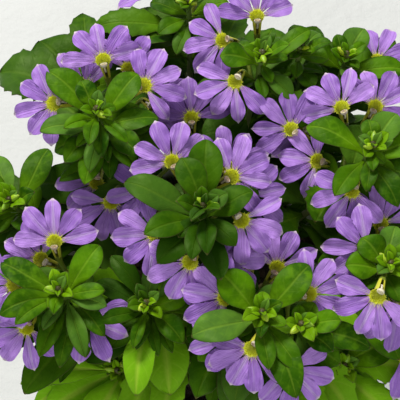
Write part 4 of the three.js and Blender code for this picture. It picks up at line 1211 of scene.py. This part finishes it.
def beard_parts(throat, middle, across, face, number):
    """The throat's beard: hairs spread evenly over its front wall, that stand up, fill its mouth
    like a brush and fan out, and finer ones round the mouth that lie out over the petals' bases."""
    n = np.arange(THROAT_HAIRS)
    turn = (n * EVEN_TURN + 0.5 * vary(number, 0)) % 1
    angle = np.radians(-HAIR_TURN + 2 * HAIR_TURN * turn)
    deep = (n * EVEN_DEPTH) % 1
    radial = middle * np.cos(angle)[:, None] + across * np.sin(angle)[:, None]
    foot = throat + radial * (2.3 - 2.0 * deep)[:, None] - face * (0.1 + 1.2 * deep)[:, None]
    foot = foot - middle * (1.2 * deep)[:, None]
    tall = (0.8 + 1.5 * deep + 0.5 * vary(n, number))[:, None]
    tip = foot + face * tall + radial * (0.45 - 0.35 * deep + 0.4 * vary(n, 5))[:, None]
    inner = spikes(foot, tip, HAIR_RADIUS)
    n = np.arange(MOUTH_HAIRS)
    turn = n + 0.5 + 0.5 * vary(n, number)
    angle = np.radians(-MOUTH_HAIR_TURN + 2 * MOUTH_HAIR_TURN * turn / MOUTH_HAIRS)
    radial = middle * np.cos(angle)[:, None] + across * np.sin(angle)[:, None]
    foot = throat + radial * 2.15 - face * 0.05
    out, up = 1.8 + 1.2 * vary(n, 8), 0.6 + 0.3 * vary(n, 2)
    tip = foot + radial * out[:, None] + face * up[:, None]
    return [inner, spikes(foot, tip, MOUTH_HAIR_RADIUS)]


def cup_parts(throat, middle, across, face, number):
    """The style and the cup at its end: the style climbs the tube and bows over, and the cup is a
    shallow bowl that is wider than it is deep, hollow towards the petals."""
    t = np.linspace(0, 1, 9)[:, None]
    start = throat - face * 5.2 - middle * 2.9
    end = throat - middle * 2.0 - face * 0.1
    path = start + (end - start) * t - middle * 0.9 * np.sin(np.pi * t) + face * 0.7 * t ** 2
    looks = (0.5 + vary(number, 5), 0, 0)
    style = tube_part(path, 0.42 - 0.08 * t[:, 0], STYLE_SIDES, CUP_SKIN, looks)
    aim = unit(middle * 0.75 + face * 0.66)
    up = np.cross(across, aim)
    ring = np.arange(CUP_SIDES) * 2 * np.pi / CUP_SIDES
    profile = np.array([
        (0.02, -0.35), (0.4, -0.32), (0.8, -0.1), (0.98, 0.3), (1.0, 0.75),
        (0.94, 0.98), (0.82, 0.9), (0.76, 0.5), (0.5, 0.2), (0.02, 0.1),
    ])
    wide = across * 1.25 * (1 + 0.1 * vary(number, 2))
    rings = wide * np.cos(ring)[:, None] + up * 0.85 * np.sin(ring)[:, None]
    bowl = path[-1] + rings * profile[:, :1, None] + aim * profile[:, 1:, None]
    faces = capped_faces(len(profile), CUP_SIDES)
    looks = np.tile(looks, (len(profile) * CUP_SIDES, 1))
    return [style, closed_part(bowl, faces, CUP_SKIN, looks=looks)]


def stalk_part(shoot, tube_end, tube_aim):
    """A flower's stalk: it leaves the stem below the tube's end by a share of the way across, and
    swells into the ovary just under the tube. Its line leaves the stem level and meets the
    tube along the tube's own line."""
    tip = np.array(shoot["tip"], float)
    span = np.linalg.norm((tube_end - tip)[:2])
    level = max(tip[2] - (tube_end[2] - 1.5 - STALK_SLOPE * span), 4)
    start = stem_at(shoot, level)
    end = tube_end + tube_aim * 0.4
    length = np.linalg.norm(end - start)
    handle = end - tube_aim * 0.45 * length
    t = np.linspace(0, 1, STALK_ROWS)[:, None]
    path = start * (1 - t) ** 2 + handle * 2 * t * (1 - t) + end * t * t
    ovary = np.exp(-(((1 - t[:, 0]) * length - 1.7) / 1.3) ** 2)
    return tube_part(path, 0.62 + 0.3 * t[:, 0] + 0.4 * ovary, ROUND_SIDES, BUD_SKIN)


def petal_material():
    """Petal skin: violet, streaked lengthwise in lighter and darker shades, with a middle band
    that is paler on some petals and has darker lines along its centre and its edges. The base has
    maroon lines and a yellow foot, and the point is pale and brownish. Painted shade darkens each
    bloom a little towards a deeper violet, and the inner ones under the others most."""
    material, tree, shader = new_material("petal", (0.4, 0.23, 0.66), 0.62)
    shader.inputs["Specular IOR Level"].default_value = 0.3
    along, x, under = marks_of(tree, "place")
    tone, other, shade = marks_of(tree, "looks")
    coarse, fine = add_grain(tree, 350)
    aside = maths(tree, "ABSOLUTE", x)
    shifted = maths(tree, "ADD", along, times(tree, tone, 9.0))
    spot = new_node(tree, "ShaderNodeCombineXYZ", x, shifted, times(tree, other, 7.0))
    streaks = new_node(tree, "ShaderNodeTexNoise", Vector=spot.outputs[0], Scale=2.1, Detail=3.0)
    streak = streaks.outputs["Fac"]

    edge = maths(tree, "SUBTRACT", PETAL_BAND, times(tree, along, 0.5))
    gap = maths(tree, "SUBTRACT", aside, edge)
    band = times(tree, step_up(tree, gap, -0.5, 0.15, 1.0, 0.0),
                 step_up(tree, other, 0.3, 0.95, 0.03, 0.5))
    line = step_up(tree, maths(tree, "ABSOLUTE", gap), 0.02, 0.16, 1.0, 0.0)
    centre = step_up(tree, aside, 0.02, 0.12, 1.0, 0.0)
    lines = times(tree, maths(tree, "MAXIMUM", times(tree, line, 0.7), centre),
                  step_up(tree, coarse, 0.35, 0.6, 0.05, 0.24))
    beat = maths(tree, "PINGPONG", times(tree, aside, 2.2), 0.5)
    base = times(tree, step_up(tree, along, 0.08, 0.36, 1.0, 0.0),
                 step_up(tree, beat, 0.05, 0.2, 0.75, 0.0))
    colour = layered(
        tree,
        blended(tree, tone, (0.3, 0.134, 0.52), (0.47, 0.243, 0.71)),
        (step_up(tree, streak, 0.5, 0.7, 0.0, 0.4), (0.6, 0.38, 0.78)),
        (step_up(tree, streak, 0.3, 0.48, 0.38, 0.0), (0.23, 0.085, 0.42)),
        (band, (0.6, 0.47, 0.68)),
        (lines, (0.17, 0.07, 0.24)),
        (base, (0.12, 0.02, 0.06)),
        (step_up(tree, along, 0.0, 0.055, 1.0, 0.0), (0.58, 0.6, 0.02)),
        (step_up(tree, along, 0.88, 0.97, 0.0, 0.85), (0.72, 0.6, 0.62)),
        (times(tree, under, 0.35), (0.36, 0.26, 0.52)),
        # Painted shade: each bloom turns a deeper violet by its shade mark.
        (shade, (0.13, 0.055, 0.25)),
    )
    tree.links.new(colour, shader.inputs["Base Color"])
    ridges = maths(tree, "ADD", streak, times(tree, fine, 0.3))
    add_bump(tree, shader, maths(tree, "SUBTRACT", ridges, lines), 0.0004)
    return material


def tube_material():
    """The tube: yellow in its mouth and brown deeper inside, olive to tan outside with brown
    lines, and greenish yellow along its split edges."""
    material, tree, shader = new_material("flower tube", (0.6, 0.6, 0.02), 0.5)
    along, across, under = marks_of(tree, "place")
    _, fine = add_grain(tree, 500)
    beat = maths(tree, "PINGPONG", times(tree, across, 3.5), 0.5)
    inner = blended(tree, step_up(tree, along, 0.25, 0.5), (0.16, 0.1, 0.015), (0.76, 0.78, 0.01))
    outer = layered(
        tree,
        blended(tree, along, (0.3, 0.34, 0.03), (0.42, 0.36, 0.2)),
        (step_up(tree, beat, 0.0, 0.14, 0.55, 0.0), (0.15, 0.06, 0.03)),
    )
    split = step_up(tree, maths(tree, "ABSOLUTE", across), 0.6, 0.74)
    colour = layered(tree, inner, (under, outer), (split, (0.62, 0.6, 0.04)))
    tree.links.new(colour, shader.inputs["Base Color"])
    add_bump(tree, shader, fine, 0.00015)
    return material


def beard_material():
    """Throat hairs: bright yellow, with paler tips."""
    material, tree, shader = new_material("throat hairs", (0.62, 0.6, 0.02), 0.6)
    along, _, _ = marks_of(tree, "place")
    coarse, _ = add_grain(tree, 600)
    foot = blended(tree, coarse, (0.76, 0.77, 0.004), (0.88, 0.9, 0.01))
    colour = blended(tree, step_up(tree, along, 0.35, 1.0), foot, (0.92, 0.96, 0.25))
    tree.links.new(colour, shader.inputs["Base Color"])
    return material


def cup_material():
    """Style and cup: cream on some blooms and tan on others, flushed with dull pink in patches."""
    material, tree, shader = new_material("cream style", (0.72, 0.66, 0.5), 0.55)
    tone, _, _ = marks_of(tree, "looks")
    coarse, fine = add_grain(tree, 700)
    colour = blended(tree, tone, (0.5, 0.38, 0.26), (0.8, 0.74, 0.55))
    colour = blended(tree, step_up(tree, coarse, 0.45, 0.7), colour, (0.5, 0.33, 0.3))
    tree.links.new(colour, shader.inputs["Base Color"])
    add_bump(tree, shader, fine, 0.0001)
    return material


flower_skins = [petal_material(), tube_material(), beard_material(), cup_material()]

# Older blooms that lie lower, under the others, in the same form as the table's rows. Painted
# shade darkens them most.
INNER_BLOOMS = {
    "a7": ("a", -16, 38, 162, -35, 30, 0),
    "a8": ("a", -3, 33, 163, 95, 28, 4),
    "b7": ("b", 15, 1, 166, 8, 26, 0),
    "b8": ("b", -17, 5, 163, 190, 28, 0),
    "b9": ("b", 9, 10, 169, 97, 28, 0),
    "c6": ("c", -30, 3, 158, -110, 26, 0),
    "f6": ("ff", 31, 26, 167, 138, 24, 4),
    "h5": ("h", 63, -36, 160, -60, 26, -6),
}
# How much painted shade darkens the inner blooms
INNER_SHADE = 0.45

stalks = {}
for number, (name, bloom) in enumerate((BLOOMS | INNER_BLOOMS).items()):
    shift = SHIFTS[0]
    if name in BLOOMS:
        shift = shift_of(bloom, number, corners_of(f"bloom_{name}"))
    throat, middle, across, face = bloom_axes(bloom, shift)
    tube_end = throat - face * TUBE_DROP - middle * TUBE_BACK
    angles, lengths = petal_rows(number)
    # Painted shade: every bloom is darkened a little, and the inner ones more.
    shade = 0.1 + 0.2 * vary(number, 16) if name in BLOOMS else INNER_SHADE
    parts = [
        petal_part(throat, middle, across, face, angles[n], lengths[n], shade, PETALS * number + n)
        for n in range(PETALS)
    ]
    parts.append(tube_sheet(throat, tube_end, middle, across, number))
    parts += beard_parts(throat, middle, across, face, number)
    parts += cup_parts(throat, middle, across, face, number)
    fan = make_piece(f"fan_{name}", parts, flower_skins, sharp=60.0)
    if name in BLOOMS:
        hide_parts(f"bloom_{name}")
    stalk = stalk_part(SHOOTS[bloom[0]], tube_end, unit(throat - tube_end))
    stalks.setdefault(bloom[0], []).append(stalk)

for name, parts in stalks.items():
    grown = make_piece(f"stalks_{name}", parts, shoot_skins, sharp=60.0)
    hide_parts(f"shoot_{name}")


# Stage
# A plain pale floor, one broad soft light high at the back, a weaker one in front, and a camera
# that looks steeply down on the plant.

FLOOR_HALF = 3

floor_mesh = bpy.data.meshes.new("floor")
floor_corners = FLOOR_HALF * np.array([(-1, -1, 0), (1, -1, 0), (1, 1, 0), (-1, 1, 0)])
floor_mesh.from_pydata(floor_corners.tolist(), [], [(0, 1, 2, 3)])
floor = bpy.data.objects.new("floor", floor_mesh)
bpy.context.scene.collection.objects.link(floor)
floor_paint, tree, shader = new_material("floor paint", (0.6, 0.605, 0.585), 0.7)
coarse, fine = add_grain(tree, 12)
tone = blended(tree, coarse, (0.57, 0.575, 0.555), (0.62, 0.625, 0.605))
tree.links.new(tone, shader.inputs["Base Color"])
add_bump(tree, shader, fine, 0.0015)
floor_mesh.materials.append(floor_paint)

world = bpy.data.worlds.new("studio")
world.use_nodes = True
world.node_tree.nodes["Background"].inputs["Color"].default_value = (0.93, 0.97, 1.0, 1)
world.node_tree.nodes["Background"].inputs["Strength"].default_value = 0.42
bpy.context.scene.world = world
bpy.context.scene.view_settings.view_transform = "Standard"


def soft_light(name, place, aim, size, power, colour):
    """A square area light at a place, turned so that its face looks at a point."""
    light = bpy.data.lights.new(name, "AREA")
    light.size = size
    light.energy = power
    light.color = colour
    lamp = bpy.data.objects.new(name, light)
    lamp.location = place
    towards = Vector(aim) - Vector(place)
    lamp.rotation_euler = towards.to_track_quat("-Z", "Y").to_euler()
    bpy.context.scene.collection.objects.link(lamp)


LIGHT_AIM = (0, 0, 0.15)
soft_light("key", (-0.35, 0.75, 1.15), LIGHT_AIM, 0.45, 19.5, (1.0, 0.985, 0.95))
soft_light("fill", (0.05, -0.95, 0.75), LIGHT_AIM, 0.8, 4.3, (0.97, 0.985, 1.0))

# The camera looks down along the viewer's line at a point among the shoots, in metres. It stands
# so many millimetres away from it, and there so many millimetres fill the frame's side.
CAMERA_AIM = np.array([0.0, 0.0, 0.165])
CAMERA_AWAY = 380
FRAME_SIDE = 132
SENSOR_SIDE = 36

camera_data = bpy.data.cameras.new("camera")
camera_data.sensor_width = SENSOR_SIDE
camera_data.lens = SENSOR_SIDE * CAMERA_AWAY / FRAME_SIDE
camera_data.clip_start = 0.01
camera = bpy.data.objects.new("camera", camera_data)
camera.location = CAMERA_AIM + CAMERA_AWAY * METRE * TO_VIEW
camera.rotation_euler = (np.pi / 2 - FACING, 0, 0)
bpy.context.scene.collection.objects.link(camera)
bpy.context.scene.camera = camera
